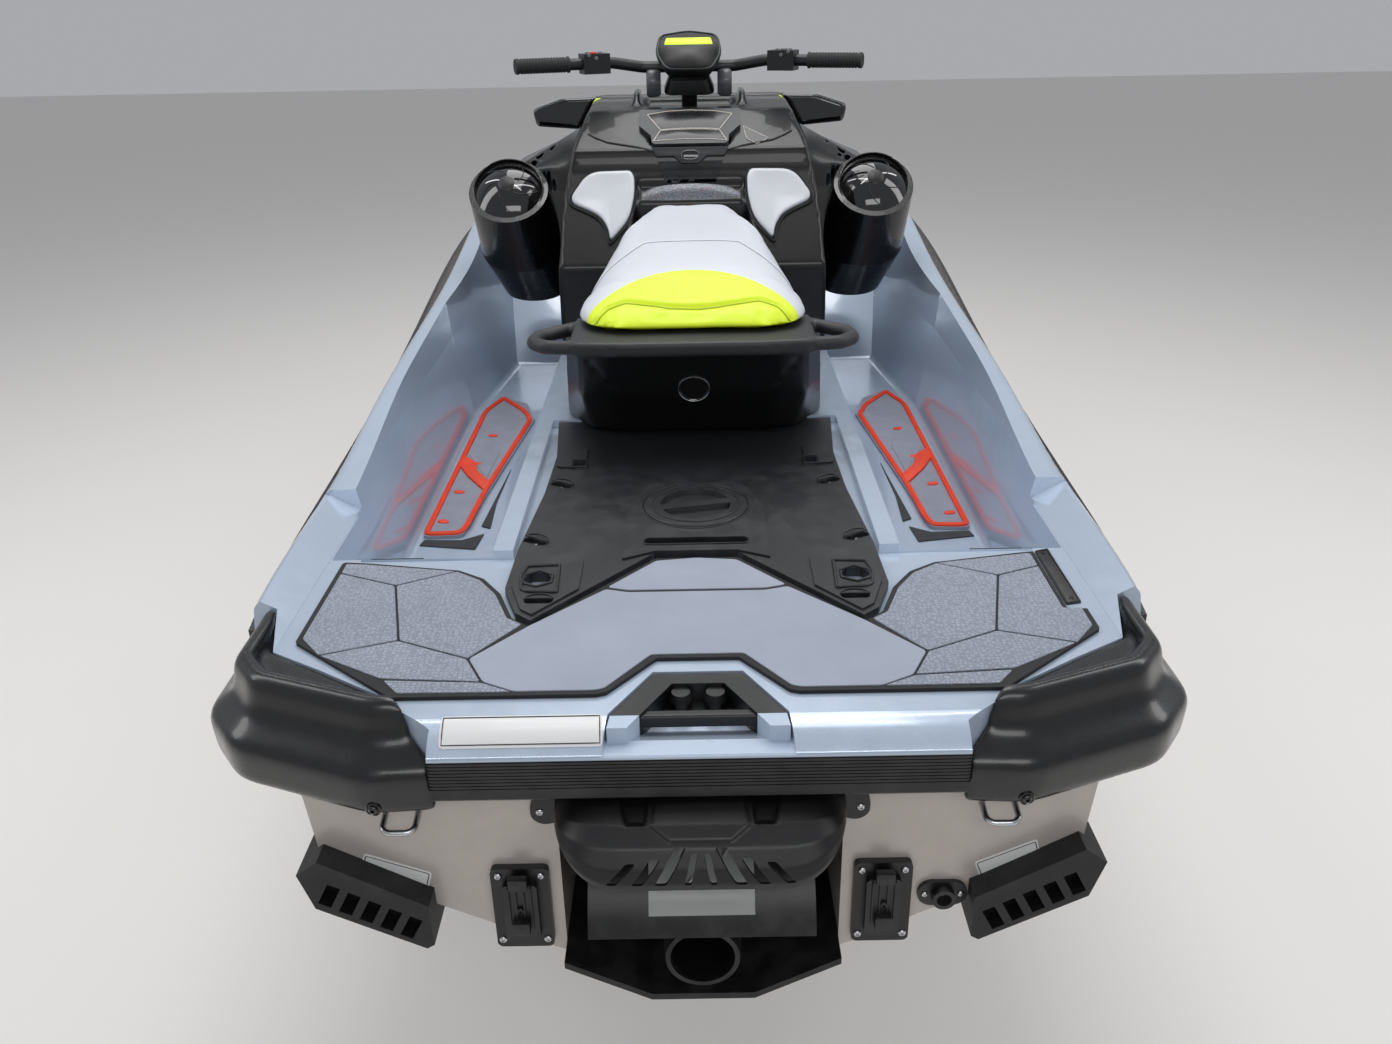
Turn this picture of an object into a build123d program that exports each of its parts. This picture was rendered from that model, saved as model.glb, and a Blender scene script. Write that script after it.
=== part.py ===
from build123d import *
from math import atan2, cos, degrees, radians, sin, tan
import os

# Personal watercraft with a long stern platform, driven by a jet pump. Millimetres.
# It is drawn from the stern's aft face (Y = 0, bow towards +Y), the centre plane (X = 0, starboard +X)
# and the keel (Z = 0), and each piece is carried to the waterline frame when it is written.

# Driving dimensions
LENGTH = 3318
DRAFT = 280
FLOTATION_Y = 1450
SEAT_GAP = 0.3
RUNNING_FIT = 0.05

# Stern platform and the island between the footwells
TRANSOM_Y = 60
PLATFORM_Z = 455
PLATFORM_FRONT_Y = 452
ISLAND_X = 302
ISLAND_Z = 470
CONSOLE_FRONT_Y = 2005

STRIP_X = 311.7
STRIP_DEPTH = 30
STRIP_LOW_Z = 367
STRIP_TOP_Z = 431
HOOK_FLOOR_Z = 420
hook_recess = [(112, -10), (106, 50), (56, 138)]
CURB_X = 548
CURB_RISE = 28
CURB_FRONT_Y = 640
COVER_X = 272
COVER_FRONT_Y = 1010
COVER_TOP_Z = 469.7

# Engine bay, jet tunnel and jet line
BAY_X = 165
BAY_REAR_Y = 1060
BAY_FRONT_Y = 1900
BAY_FLOOR_Z = 110
TUNNEL_X = 178
TUNNEL_TOP_Z = 330
TUNNEL_FRONT_Y = 600
JET_Z = 140
SHAFT_R = 14
NOZZLE_PIVOT_Y = 170
NOZZLE_PIN_R = 6
GATE_PIVOT_Y = 100
GATE_ARM_X = 122
GATE_PIN_R = 8

parts_folder = "parts"
os.makedirs(parts_folder, exist_ok=True)
to_waterline = Location((0, -FLOTATION_Y, -DRAFT))


def save(piece, name):
    """Carries a finished piece to the waterline frame and writes it under its own name."""
    placed = piece.moved(to_waterline)
    placed.label = name
    export_step(placed, f"{parts_folder}/{name}.step")
    print(name, len(placed.solids()), round(placed.volume / 1e6, 3), placed.is_valid)


def across(y):
    """Plane that cuts across the craft at y, with local x to starboard and local y up."""
    return Plane(origin=(0, y, 0), x_dir=(1, 0, 0), z_dir=(0, -1, 0))


def level(z):
    """Horizontal plane at height z."""
    return Plane.XY.offset(z)


def lengthwise(x):
    """Plane along the craft at x, with local x towards the bow and local y up."""
    return Plane(origin=(x, 0, 0), x_dir=(0, 1, 0), z_dir=(1, 0, 0))


def both_sides(half):
    """The points of a half outline on +X, followed by their mirror images back down -X."""
    return half + [(-x, z) for x, z in reversed(half) if x > 0]


def section(y, points, grow=0):
    """One closed section of a loft at y, grown outwards by a clearance where asked."""
    with BuildSketch(across(y)) as outline:
        Polygon(*points, align=None)
        if grow:
            offset(amount=grow, kind=Kind.INTERSECTION)
    return outline.sketch


def bow_y(share):
    """Distance from the stern at a share of the way from the console's front to the bow's tip."""
    return CONSOLE_FRONT_Y + share * (LENGTH - CONSOLE_FRONT_Y)


# Bond line between hull and deck, as seen from the side: y, z
PAST_BOW_Y = LENGTH + 80
bond_line = [(0, 392), (700, 458), (1400, 520), (2000, 600), (bow_y(0.453), 662), (PAST_BOW_Y, 722)]


def bond_block(lift):
    """Everything above the bond line, lifted by a clearance."""
    with BuildPart() as block:
        with BuildSketch(lengthwise(0)):
            with BuildLine():
                Spline(*[(y, z + lift) for y, z in bond_line])
                Polyline((PAST_BOW_Y, bond_line[-1][1] + lift), (PAST_BOW_Y, 1500), (0, 1500),
                         (0, bond_line[0][1] + lift))
            make_face()
        extrude(amount=800, both=True)
    return block.part


# Hull: y, keel z, chine x, chine z, side x, side z, rail x, rail z
hull_stations = [
    (TRANSOM_Y, 0, 455, 215, 487, 335, 552, 420),
    (700, 0, 482, 222, 554, 330, 602, 490),
    (1400, 0, 490, 242, 566, 350, 608, 560),
    (2000, 5, 455, 292, 544, 440, 598, 640),
    (bow_y(0.377), 60, 365, 385, 462, 540, 545, 700),
    (bow_y(0.682), 200, 228, 490, 325, 600, 425, 740),
    (bow_y(0.941), 470, 60, 600, 110, 665, 185, 770),
]
CHINE_LEDGE = 22
STRAKE_SHARE = 0.52
STRAKE_DEPTH = 12
STRAKE_WIDTH = 34


def hull_form(grow=0):
    """Planing hull below the gunwale, with a strake and a chine ledge on each side."""
    with BuildPart() as form:
        for y, keel_z, chine_x, chine_z, side_x, side_z, rail_x, rail_z in hull_stations:
            width_share = chine_x / hull_stations[0][2]
            strake_x = chine_x * STRAKE_SHARE
            strake_z = keel_z + (chine_z - keel_z) * STRAKE_SHARE
            half = [
                (0, keel_z),
                (strake_x, strake_z - STRAKE_DEPTH),
                (strake_x + STRAKE_WIDTH * width_share, strake_z + STRAKE_DEPTH),
                (chine_x, chine_z),
                (chine_x + CHINE_LEDGE * width_share, chine_z + 8),
                (side_x, side_z),
                (rail_x, rail_z),
            ]
            add(section(y, both_sides(half), grow))
        loft()
    return form.part


# Footwells: height of an outline, its rear and front y, and its outer x at the rear, middle and front
WELL_MIDDLE_Y = 1500
WELL_FLOOR_Z = 310
WELL_CORNER_R = 16
TUB_WALL = 12
well_outlines = [
    (WELL_FLOOR_Z, 740, 1890, 518, 522, 476),
    (500, 371, 2060, 554, 556, 500),
    (1000, 371, 2150, 600, 600, 596),
]


def stacked_loft(outlines, grow, inner_x):
    """Space between outlines at three heights. It spans the craft where it has no inner x."""
    with BuildPart() as space:
        for low, high in zip(outlines, outlines[1:]):
            for z, rear_y, front_y, rear_x, middle_x, front_x in (low, high):
                drop = grow if z == WELL_FLOOR_Z else 0
                half = [(rear_x + grow, rear_y - grow), (middle_x + grow, WELL_MIDDLE_Y),
                        (front_x + grow, front_y + grow)]
                if inner_x:
                    points = [(-inner_x, front_y), (-inner_x, rear_y)] + [(-x, y) for x, y in half]
                else:
                    points = half + [(-x, y) for x, y in reversed(half)]
                with BuildSketch(level(z - drop)):
                    Polygon(*points, align=None)
            loft()
    return space.part


def footwell():
    """Open space of the port footwell, from its aft ramp to the slope under the bow."""
    with BuildPart() as space:
        add(stacked_loft(well_outlines, 0, ISLAND_X))
        fillet(space.edges().group_by(Axis.Z)[0], WELL_CORNER_R)
    return space.part


def tub_block(grow=0):
    """The deck's moulding below the bond line: both footwell tubs and the island between them."""
    return stacked_loft(well_outlines, TUB_WALL + grow, 0)


def bay_space(top_z):
    """Upright space of the engine bay up to a height."""
    with BuildPart() as space:
        with BuildSketch(level(BAY_FLOOR_Z)):
            with Locations((0, (BAY_REAR_Y + BAY_FRONT_Y) / 2)):
                RectangleRounded(2 * BAY_X, BAY_FRONT_Y - BAY_REAR_Y, 40)
        extrude(amount=top_z - BAY_FLOOR_Z)
    return space.part


# Storage bin under the front lid
BIN_X = 190
BIN_REAR_Y = bow_y(0.095)
BIN_FRONT_Y = bow_y(0.484)
BIN_FLOOR_Z = 470
BIN_WALL = 5


def bin_space(grow, floor_z, top_z=900):
    """Upright space that the storage bin fills, grown by a clearance."""
    with BuildPart() as space:
        with BuildSketch(level(floor_z)):
            with Locations((0, (BIN_REAR_Y + BIN_FRONT_Y) / 2)):
                RectangleRounded(2 * (BIN_X + grow), BIN_FRONT_Y - BIN_REAR_Y + 2 * grow, 40 + grow)
        extrude(amount=top_z - floor_z)
    return space.part


# Corner bumpers at the stern: their seat on the deck, seen from above: x, y
BUMPER_FRONT_Y = 286
corner_seat = [(312, -60), (312, 30), (352, 62), (391, 100), (476, 156), (548, 200), (570, 290), (720, 290),
               (720, -60)]
BUMPER_LOW_Z = 338
# Outermost outline seen from above: x, y, corner radius
bumper_plan = [(392, 8, 90), (572, 78, 80), (627, 150, 60)]
# Height, and how far the outline is drawn in there: lower wall, shelf, upper wall and rounded rim
bumper_levels = [(BUMPER_LOW_Z, 12), (346, 3), (392, 0), (402, 4), (422, 30), (432, 36), (462, 41), (471, 46),
                 (475, 54)]
BUMPER_PLATE_Z = 457
BUMPER_PLATE_INSET = 66


def corner_room(grow, low_z):
    """Room outside the seat line of the starboard corner bumper, from low_z up."""
    with BuildPart() as room:
        with BuildSketch(level(low_z)):
            Polygon(*corner_seat, align=None)
            if grow:
                offset(amount=grow, kind=Kind.INTERSECTION)
        extrude(amount=600)
    return room.part


corner_cut = corner_room(SEAT_GAP, BUMPER_LOW_Z - SEAT_GAP)
corner_cut += mirror(corner_cut, about=Plane.YZ)

well_port = footwell()
well_starboard = mirror(well_port, about=Plane.YZ)

DUCT_X = 80
with BuildPart() as hull:
    add(hull_form())
    add(bond_block(-SEAT_GAP), mode=Mode.SUBTRACT)
    add(tub_block(SEAT_GAP), mode=Mode.SUBTRACT)
    add(bay_space(700), mode=Mode.SUBTRACT)
    add(bin_space(SEAT_GAP, BIN_FLOOR_Z - SEAT_GAP), mode=Mode.SUBTRACT)
    add(corner_cut, mode=Mode.SUBTRACT)
    # Jet tunnel, open at the transom and below
    with BuildSketch(across(0)):
        with Locations((0, TUNNEL_TOP_Z / 2 - 50)):
            Rectangle(2 * TUNNEL_X, TUNNEL_TOP_Z + 100)
    extrude(amount=-TUNNEL_FRONT_Y, mode=Mode.SUBTRACT)
    # Water intake duct, rising aft from the bottom opening to the pump
    with BuildSketch(lengthwise(0)):
        Polygon((TUNNEL_FRONT_Y - 1, JET_Z + 78), (760, JET_Z + 66), (1180, -20), (700, -20),
                (TUNNEL_FRONT_Y - 1, JET_Z - 78), align=None)
    extrude(amount=DUCT_X, both=True, mode=Mode.SUBTRACT)
    # Shaft bore from the duct to the engine bay
    with BuildSketch(across(700)):
        with Locations((0, JET_Z)):
            Circle(SHAFT_R + RUNNING_FIT)
    extrude(amount=-(BAY_REAR_Y + 20 - 700), mode=Mode.SUBTRACT)
save(hull.part, "hull")

# Deck plan at the flange: x, y. The sides lean inwards by the tumblehome up to the top of the bow.
deck_plan = [(550, 0), (604, 260), (613, 700), (618, 1500), (613, 2000), (584, bow_y(0.225)), (515, bow_y(0.453)),
             (400, bow_y(0.682)), (262, bow_y(0.864)), (150, bow_y(0.941))]
FLANGE_Z = 400
BOW_TOP_Z = 800
TUMBLEHOME = 52
GUNWALE_R = 20
# Top of the deck as seen from the side: y, z
deck_top = [(0, 472), (450, 484), (700, 498), (950, 538), (1200, 562), (1600, 590), (1820, 625),
            (2000, 675), (bow_y(0.149), 718), (bow_y(0.453), 742), (LENGTH - 18, 768)]


def plan_face(z, inset, grow=0):
    """Plan outline of the deck at height z, drawn in by an inset or widened by a clearance."""
    half = [(x - inset * x / 600 + grow, y) for x, y in deck_plan]
    half[-1] = (half[-1][0], half[-1][1] + grow)
    with BuildSketch(level(z)) as outline:
        with BuildLine():
            Spline(*half)
            Spline(*[(-x, y) for x, y in half])
            Line(half[0], (-half[0][0], half[0][1]))
            Line(half[-1], (-half[-1][0], half[-1][1]))
        make_face()
    return outline.sketch


def deck_form():
    """Outer shape of the deck, from the platform to the bow."""
    with BuildPart() as form:
        add(plan_face(FLANGE_Z - 160, 0))
        extrude(amount=160 + 30)
        add(plan_face(FLANGE_Z + 30, 0))
        add(plan_face(BOW_TOP_Z, TUMBLEHOME))
        loft()
        with BuildSketch(lengthwise(0)):
            with BuildLine():
                Spline(*deck_top)
                Polyline(deck_top[-1], (LENGTH - 18, 200), (0, 200), deck_top[0])
            make_face()
        extrude(amount=800, both=True, mode=Mode.INTERSECT)
        fillet(form.edges().filter_by(lambda e: e.length > 1000 and e.center().Z > 500
                                      and abs(e.center().X) > 100), GUNWALE_R)
    return form.part


STERN_SLOPE_Y = 58


def hook_space(inset):
    """Space of the tow hook's recess above its scooped floor, drawn in at the sides by an amount."""
    half = [(x - inset, y - (inset if y > 0 else 0)) for x, y in hook_recess]
    with BuildPart() as space:
        with BuildSketch(lengthwise(0)):
            Polygon((-10, STRIP_TOP_Z), (30, STRIP_TOP_Z), (62, HOOK_FLOOR_Z), (160, HOOK_FLOOR_Z), (160, 560),
                    (-10, 560), align=None)
        extrude(amount=300, both=True)
        with BuildSketch(level(300)):
            Polygon(*half, *[(-x, y) for x, y in reversed(half)], align=None)
        extrude(amount=300, mode=Mode.INTERSECT)
    return space.part


# Hinge barrel of the hood: it lies in a groove of the deck, across the craft
HOOD_PIVOT_Y = bow_y(0.6512)
HOOD_PIVOT_Z = 751
HOOD_BARREL_R = 9
HOOD_BARREL_X = 60

with BuildPart() as deck:
    add(deck_form())
    add(bond_block(0) + tub_block(), mode=Mode.INTERSECT)
    for space in (well_port, well_starboard):
        add(space, mode=Mode.SUBTRACT)
    # Flat stern platform, with ledges that run forward past the wells to the step of the gunwale
    with BuildSketch(level(PLATFORM_Z)):
        Rectangle(2 * CURB_X, PLATFORM_FRONT_Y, align=(Align.CENTER, Align.MIN))
        for side in (-1, 1):
            Polygon(*[(side * x, y) for x, y in [(500, 400), (CURB_X, 400), (CURB_X, CURB_FRONT_Y - 26),
                                                 (500, CURB_FRONT_Y - 60)]], align=None)
    extrude(amount=200, mode=Mode.SUBTRACT)
    # Curb that slopes up and outwards from the platform
    for side in (-1, 1):
        with BuildSketch(across(-20)):
            Polygon(*[(side * x, z) for x, z in [(CURB_X - 1, PLATFORM_Z), (CURB_X + 48, PLATFORM_Z + CURB_RISE),
                                                 (CURB_X + 90, PLATFORM_Z + CURB_RISE + 6), (CURB_X + 90, 600),
                                                 (CURB_X - 1, 600)]], align=None)
        extrude(amount=-(CURB_FRONT_Y + 20), mode=Mode.SUBTRACT)
    # Island between the wells, which carries the cover, the seat base and the console
    with BuildSketch(level(ISLAND_Z)):
        with Locations((0, PLATFORM_FRONT_Y)):
            Rectangle(2 * ISLAND_X + 2, CONSOLE_FRONT_Y - PLATFORM_FRONT_Y, align=(Align.CENTER, Align.MIN))
    extrude(amount=400, mode=Mode.SUBTRACT)
    add(bay_space(700), mode=Mode.SUBTRACT)
    add(bin_space(SEAT_GAP, BIN_FLOOR_Z - SEAT_GAP), mode=Mode.SUBTRACT)
    add(corner_cut, mode=Mode.SUBTRACT)
    # Seat of the ribbed stern strip
    with BuildSketch(lengthwise(0)):
        Polygon((-20, 200), (-20, STRIP_TOP_Z + SEAT_GAP), (STRIP_DEPTH, STRIP_TOP_Z + SEAT_GAP),
                (STRIP_DEPTH, 200), align=None)
    extrude(amount=400, both=True, mode=Mode.SUBTRACT)
    # Rounded slope above the strip, up to the platform
    with BuildSketch(lengthwise(0)):
        with BuildLine():
            ThreePointArc((2, STRIP_TOP_Z + 1), (24, PLATFORM_Z - 6), (STERN_SLOPE_Y, PLATFORM_Z))
            Polyline((STERN_SLOPE_Y, PLATFORM_Z), (STERN_SLOPE_Y, 520), (-20, 520), (-20, STRIP_TOP_Z + 1),
                     (2, STRIP_TOP_Z + 1))
        make_face()
    extrude(amount=400, both=True, mode=Mode.SUBTRACT)
    # Recess of the tow hook, open aft over a scooped floor
    add(hook_space(0), mode=Mode.SUBTRACT)
    # Recess that the deck cover lies in
    with BuildSketch(level(PLATFORM_Z)):
        Polygon((-COVER_X, 400), (COVER_X, 400), (COVER_X, COVER_FRONT_Y), (-COVER_X, COVER_FRONT_Y), align=None)
    extrude(amount=100, mode=Mode.SUBTRACT)
    # Groove of the hood's hinge barrel
    with BuildSketch(lengthwise(-HOOD_BARREL_X - 2)):
        with Locations((HOOD_PIVOT_Y, HOOD_PIVOT_Z)):
            Circle(HOOD_BARREL_R + SEAT_GAP)
    extrude(amount=2 * (HOOD_BARREL_X + 2), mode=Mode.SUBTRACT)
save(deck.part, "deck")

# Rub rail along the flange, and the bow bumper that closes it
RAIL_OUT = 8
RAIL_HALF_HEIGHT = 13
RAIL_REAR_Y = 290
RAIL_FRONT_Y = bow_y(0.895)


def rail_band(grow):
    """Upright block on the deck's flange outline, widened by an amount."""
    with BuildPart() as band:
        add(plan_face(300, 0, grow))
        extrude(amount=600)
    return band.part


with BuildPart() as rub_rail:
    add(rail_band(RAIL_OUT))
    add(rail_band(SEAT_GAP), mode=Mode.SUBTRACT)
    with BuildSketch(lengthwise(0)):
        with BuildLine():
            Spline(*[(y, z - RAIL_HALF_HEIGHT) for y, z in bond_line])
            Line((PAST_BOW_Y, bond_line[-1][1] - RAIL_HALF_HEIGHT), (PAST_BOW_Y, bond_line[-1][1] + RAIL_HALF_HEIGHT))
            Spline(*[(y, z + RAIL_HALF_HEIGHT) for y, z in reversed(bond_line)])
            Line((0, bond_line[0][1] + RAIL_HALF_HEIGHT), (0, bond_line[0][1] - RAIL_HALF_HEIGHT))
        make_face()
    extrude(amount=800, both=True, mode=Mode.INTERSECT)
    with BuildSketch(level(0)):
        Rectangle(1400, RAIL_REAR_Y, align=(Align.CENTER, Align.MIN))
        with Locations((0, RAIL_FRONT_Y)):
            Rectangle(1400, LENGTH, align=(Align.CENTER, Align.MIN))
    extrude(amount=1200, mode=Mode.SUBTRACT)
save(rub_rail.part, "rub_rail")

# Bow bumper
BOW_BUMPER_Z = 668
BOW_BUMPER_HEIGHT = 74
with BuildPart() as bow_bumper:
    with BuildSketch(level(BOW_BUMPER_Z)):
        with BuildLine():
            ThreePointArc((-300, bow_y(0.842)), (0, LENGTH), (300, bow_y(0.842)))
            Line((300, bow_y(0.842)), (-300, bow_y(0.842)))
        make_face()
    extrude(amount=BOW_BUMPER_HEIGHT)
    fillet(bow_bumper.edges().filter_by(GeomType.CIRCLE), 12)
    add(rail_band(SEAT_GAP), mode=Mode.SUBTRACT)
    with BuildSketch(level(0)):
        Rectangle(1400, RAIL_FRONT_Y + SEAT_GAP, align=(Align.CENTER, Align.MIN))
    extrude(amount=1200, mode=Mode.SUBTRACT)
save(bow_bumper.part, "bow_bumper")

# Corner bumpers


def bumper_face(z, inset):
    """Plan of the starboard bumper at height z, drawn in from its outermost outline."""
    with BuildSketch(level(z)) as outline:
        with BuildLine():
            rear = [(x, y) for x, y, radius in bumper_plan]
            Polyline((200, rear[0][1] + 14), *rear, (rear[-1][0], 420), (200, 420), close=True)
        make_face()
        for x, y, radius in bumper_plan:
            fillet(outline.vertices().sort_by_distance((x, y, z))[0], radius)
        if inset:
            offset(amount=-inset)
    return outline.sketch


with BuildPart() as bumper_form:
    for z, inset in bumper_levels:
        add(bumper_face(z, inset))
    loft(ruled=True)
    # Flat plate inside the raised rim
    add(bumper_face(BUMPER_PLATE_Z, BUMPER_PLATE_INSET))
    extrude(amount=60, mode=Mode.SUBTRACT)
    with BuildSketch(level(BUMPER_LOW_Z - 10)):
        with Locations((STRIP_X + SEAT_GAP, -60)):
            Rectangle(400, BUMPER_FRONT_Y + 60, align=Align.MIN)
    extrude(amount=200, mode=Mode.INTERSECT)
with BuildPart() as stern_bumpers:
    add(bumper_form)
    add(corner_room(0, BUMPER_LOW_Z), mode=Mode.INTERSECT)
    mirror(about=Plane.YZ)
save(stern_bumpers.part, "stern_bumpers")

# Ribbed stern strip
RIB_COUNT = 9
RIB_PITCH = 4.6
with BuildPart() as stern_strip:
    with BuildSketch(lengthwise(0)):
        Polygon((0, STRIP_LOW_Z + 6), (0, STRIP_TOP_Z - 2), (2, STRIP_TOP_Z), (STRIP_DEPTH - SEAT_GAP, STRIP_TOP_Z),
                (STRIP_DEPTH - SEAT_GAP, 382), (TRANSOM_Y - SEAT_GAP, 378), (TRANSOM_Y - SEAT_GAP, STRIP_LOW_Z),
                (6, STRIP_LOW_Z), align=None)
        with Locations(*[(0, STRIP_TOP_Z - 6 - RIB_PITCH * i) for i in range(RIB_COUNT)]):
            Rectangle(3, RIB_PITCH / 2, mode=Mode.SUBTRACT)
    extrude(amount=STRIP_X, both=True)
save(stern_strip.part, "stern_strip")

# Platform mat, with a notch beside the starboard curb
MAT_THICKNESS = 5
MAT_X = 523
notch_corners = [(497, 268), (540, 268), (540, 470), (497, 470)]
mat_half = [(52, 162), (110, 88), (122, 84), (369, 84), (MAT_X, 216), (MAT_X, 442), (480, 436), (345, 409),
            (305, 382), (274, 336), (249, 269), (224, 245), (60, 437)]
with BuildPart() as platform_mat:
    with BuildSketch(level(PLATFORM_Z + SEAT_GAP)) as mat_plan:
        Polygon(*mat_half, *[(-x, y) for x, y in reversed(mat_half)], align=None)
        fillet(mat_plan.vertices(), 6)
        Polygon(*notch_corners, align=None, mode=Mode.SUBTRACT)
    extrude(amount=MAT_THICKNESS)
save(platform_mat.part, "platform_mat")

# Deck cover with its sockets
CAP_Y = 604
CAP_R = 84
COVER_SHEET_Z = 466.5
cover_half = [(62, 442), (222, 251), (244, 271), (268, 340), (266, 460), (250, 670), (247, 830),
              (262, COVER_FRONT_Y - 2)]
SOCKET_R = 21
hex_sockets = [(-224, 361), (224, 361)]
small_sockets = [(-203, 789), (203, 789)]
# Raised fields of the cover: around the cap, and around each corner socket
cap_field = [(108, 420), (108, 606), (78, 694), (-78, 694), (-108, 606), (-108, 420), (-62, 443), (62, 443)]
socket_field = [(164, 332), (221, 262), (238, 277), (259, 343), (256, 436), (184, 440), (164, 412)]
# Pockets of the cover's screws: x, y, turn
screw_pockets = [(216, 298, 0), (244, 487, 30), (226, 701, 30)]
with BuildPart() as deck_cover:
    with BuildSketch(level(PLATFORM_Z + SEAT_GAP)):
        Polygon(*cover_half, *[(-x, y) for x, y in reversed(cover_half)], align=None)
    extrude(amount=COVER_SHEET_Z - PLATFORM_Z - SEAT_GAP)
    with BuildSketch(level(COVER_SHEET_Z)) as fields:
        Polygon(*cap_field, align=None)
        for side in (-1, 1):
            Polygon(*[(side * x, y) for x, y in socket_field], align=None)
            with Locations((side * 218, 820)):
                RectangleRounded(50, 90, 12)
    extrude(amount=COVER_TOP_Z - COVER_SHEET_Z)
    with BuildSketch(level(PLATFORM_Z)):
        with Locations((0, CAP_Y)):
            Circle(CAP_R)
        with Locations(*hex_sockets):
            RegularPolygon(SOCKET_R, 6)
        with Locations(*small_sockets):
            RectangleRounded(20, 28, 4)
    extrude(amount=60, mode=Mode.SUBTRACT)
    with BuildSketch(level(PLATFORM_Z + 5)):
        with Locations((0, 474)):
            SlotOverall(156, 20)
        for side in (-1, 1):
            for x, y, turn in screw_pockets:
                with Locations((side * x, y)):
                    SlotOverall(40, 15, rotation=side * turn)
    extrude(amount=60, mode=Mode.SUBTRACT)
save(deck_cover.part, "deck_cover")

# Round deck cap: a grip runs across its sunken middle
CAP_GAP = 1
GRIP_TURN = 12
with BuildPart() as deck_cap:
    with BuildSketch(level(PLATFORM_Z + SEAT_GAP)):
        with Locations((0, CAP_Y)):
            Circle(CAP_R - CAP_GAP)
    extrude(amount=COVER_TOP_Z + 3 - PLATFORM_Z - SEAT_GAP)
    chamfer(deck_cap.edges().group_by(Axis.Z)[-1], 2)
    with BuildSketch(level(COVER_TOP_Z - 6)):
        with Locations((0, CAP_Y)):
            Circle(CAP_R - 30)
            Rectangle(130, 22, rotation=GRIP_TURN, mode=Mode.SUBTRACT)
    extrude(amount=60, taper=-14, mode=Mode.SUBTRACT)
save(deck_cap.part, "deck_cap")

# Tow hook: a faceted surround, two knobs for the rope's loop, and a guard bar aft of them
KNOB_X = 21
KNOB_Y = 104
KNOB_R = 11
GUARD_Z = 441
GUARD_HALF_X = 88
GUARD_Y = 58
with BuildPart() as tow_hook:
    add(hook_space(SEAT_GAP + 2))
    add(hook_space(24), mode=Mode.SUBTRACT)
    with BuildSketch(level(HOOK_FLOOR_Z + SEAT_GAP)):
        Rectangle(300, 200, align=(Align.CENTER, Align.MIN))
    extrude(amount=PLATFORM_Z - 2 - HOOK_FLOOR_Z, mode=Mode.INTERSECT)
    with BuildSketch(level(300)):
        Polygon((-140, 24), (140, 24), (140, 140), (-140, 140), align=None)
    extrude(amount=200, mode=Mode.INTERSECT)
    # Foot of the knobs
    with BuildSketch(level(HOOK_FLOOR_Z + SEAT_GAP)):
        with Locations((0, 108)):
            Rectangle(96, 28)
    extrude(amount=8)
    with BuildSketch(level(HOOK_FLOOR_Z + SEAT_GAP)):
        with Locations((-KNOB_X, KNOB_Y), (KNOB_X, KNOB_Y)):
            Circle(KNOB_R)
    extrude(amount=24)
    with BuildSketch(level(HOOK_FLOOR_Z + 18)):
        with Locations((-KNOB_X, KNOB_Y), (KNOB_X, KNOB_Y)):
            Circle(KNOB_R + 4)
    extrude(amount=10, taper=20)
    # Guard bar between the surround's arms
    with BuildSketch(lengthwise(-GUARD_HALF_X)):
        with Locations((GUARD_Y, GUARD_Z)):
            RectangleRounded(15, 17, 4)
    extrude(amount=2 * GUARD_HALF_X)
save(tow_hook.part, "tow_hook")

# Seat base: plan at the deck, at its waist and under the seat: z, then x, y
BASE_TOP_Z = 655
SEAT_CUT_Y = 1440
BASE_FRONT_Y = SEAT_CUT_Y - SEAT_GAP
base_levels = [
    (ISLAND_Z + SEAT_GAP, [(128, 938), (190, 955), (246, 1040), (258, 1380), (240, BASE_FRONT_Y)]),
    (560, [(150, 893), (206, 905), (238, 985), (232, 1300), (205, BASE_FRONT_Y)]),
    (BASE_TOP_Z, [(150, 858), (202, 868), (232, 952), (206, 1120), (165, BASE_FRONT_Y)]),
]
ENGINE_X = 150
ENGINE_REAR_Y = 1080
ENGINE_FRONT_Y = 1650
ENGINE_TOP_Z = 560
ENGINE_ROOM = 15
with BuildPart() as seat_base:
    for z, half in base_levels:
        with BuildSketch(level(z)):
            Polygon(*half, *[(-x, y) for x, y in reversed(half)], align=None)
    loft(ruled=True)
    with BuildSketch(level(400)):
        with Locations((0, (ENGINE_REAR_Y + ENGINE_FRONT_Y) / 2)):
            Rectangle(2 * (ENGINE_X + ENGINE_ROOM), ENGINE_FRONT_Y - ENGINE_REAR_Y + 2 * ENGINE_ROOM)
    extrude(amount=ENGINE_TOP_Z + ENGINE_ROOM - 400, mode=Mode.SUBTRACT)
    # Slanted grooves in the tail below the handle
    with BuildSketch(across(860)):
        for side in (-1, 1):
            with Locations((side * 168, 602)):
                SlotOverall(74, 9, rotation=side * 52)
    extrude(amount=-44, mode=Mode.SUBTRACT)
save(seat_base.part, "seat_base")

# Engine as one block on the floor of its bay
with BuildPart() as engine_block:
    with BuildSketch(level(BAY_FLOOR_Z + SEAT_GAP)):
        with Locations((0, (ENGINE_REAR_Y + ENGINE_FRONT_Y) / 2)):
            Rectangle(2 * ENGINE_X, ENGINE_FRONT_Y - ENGINE_REAR_Y)
    extrude(amount=ENGINE_TOP_Z - BAY_FLOOR_Z)
save(engine_block.part, "engine_block")

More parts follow.
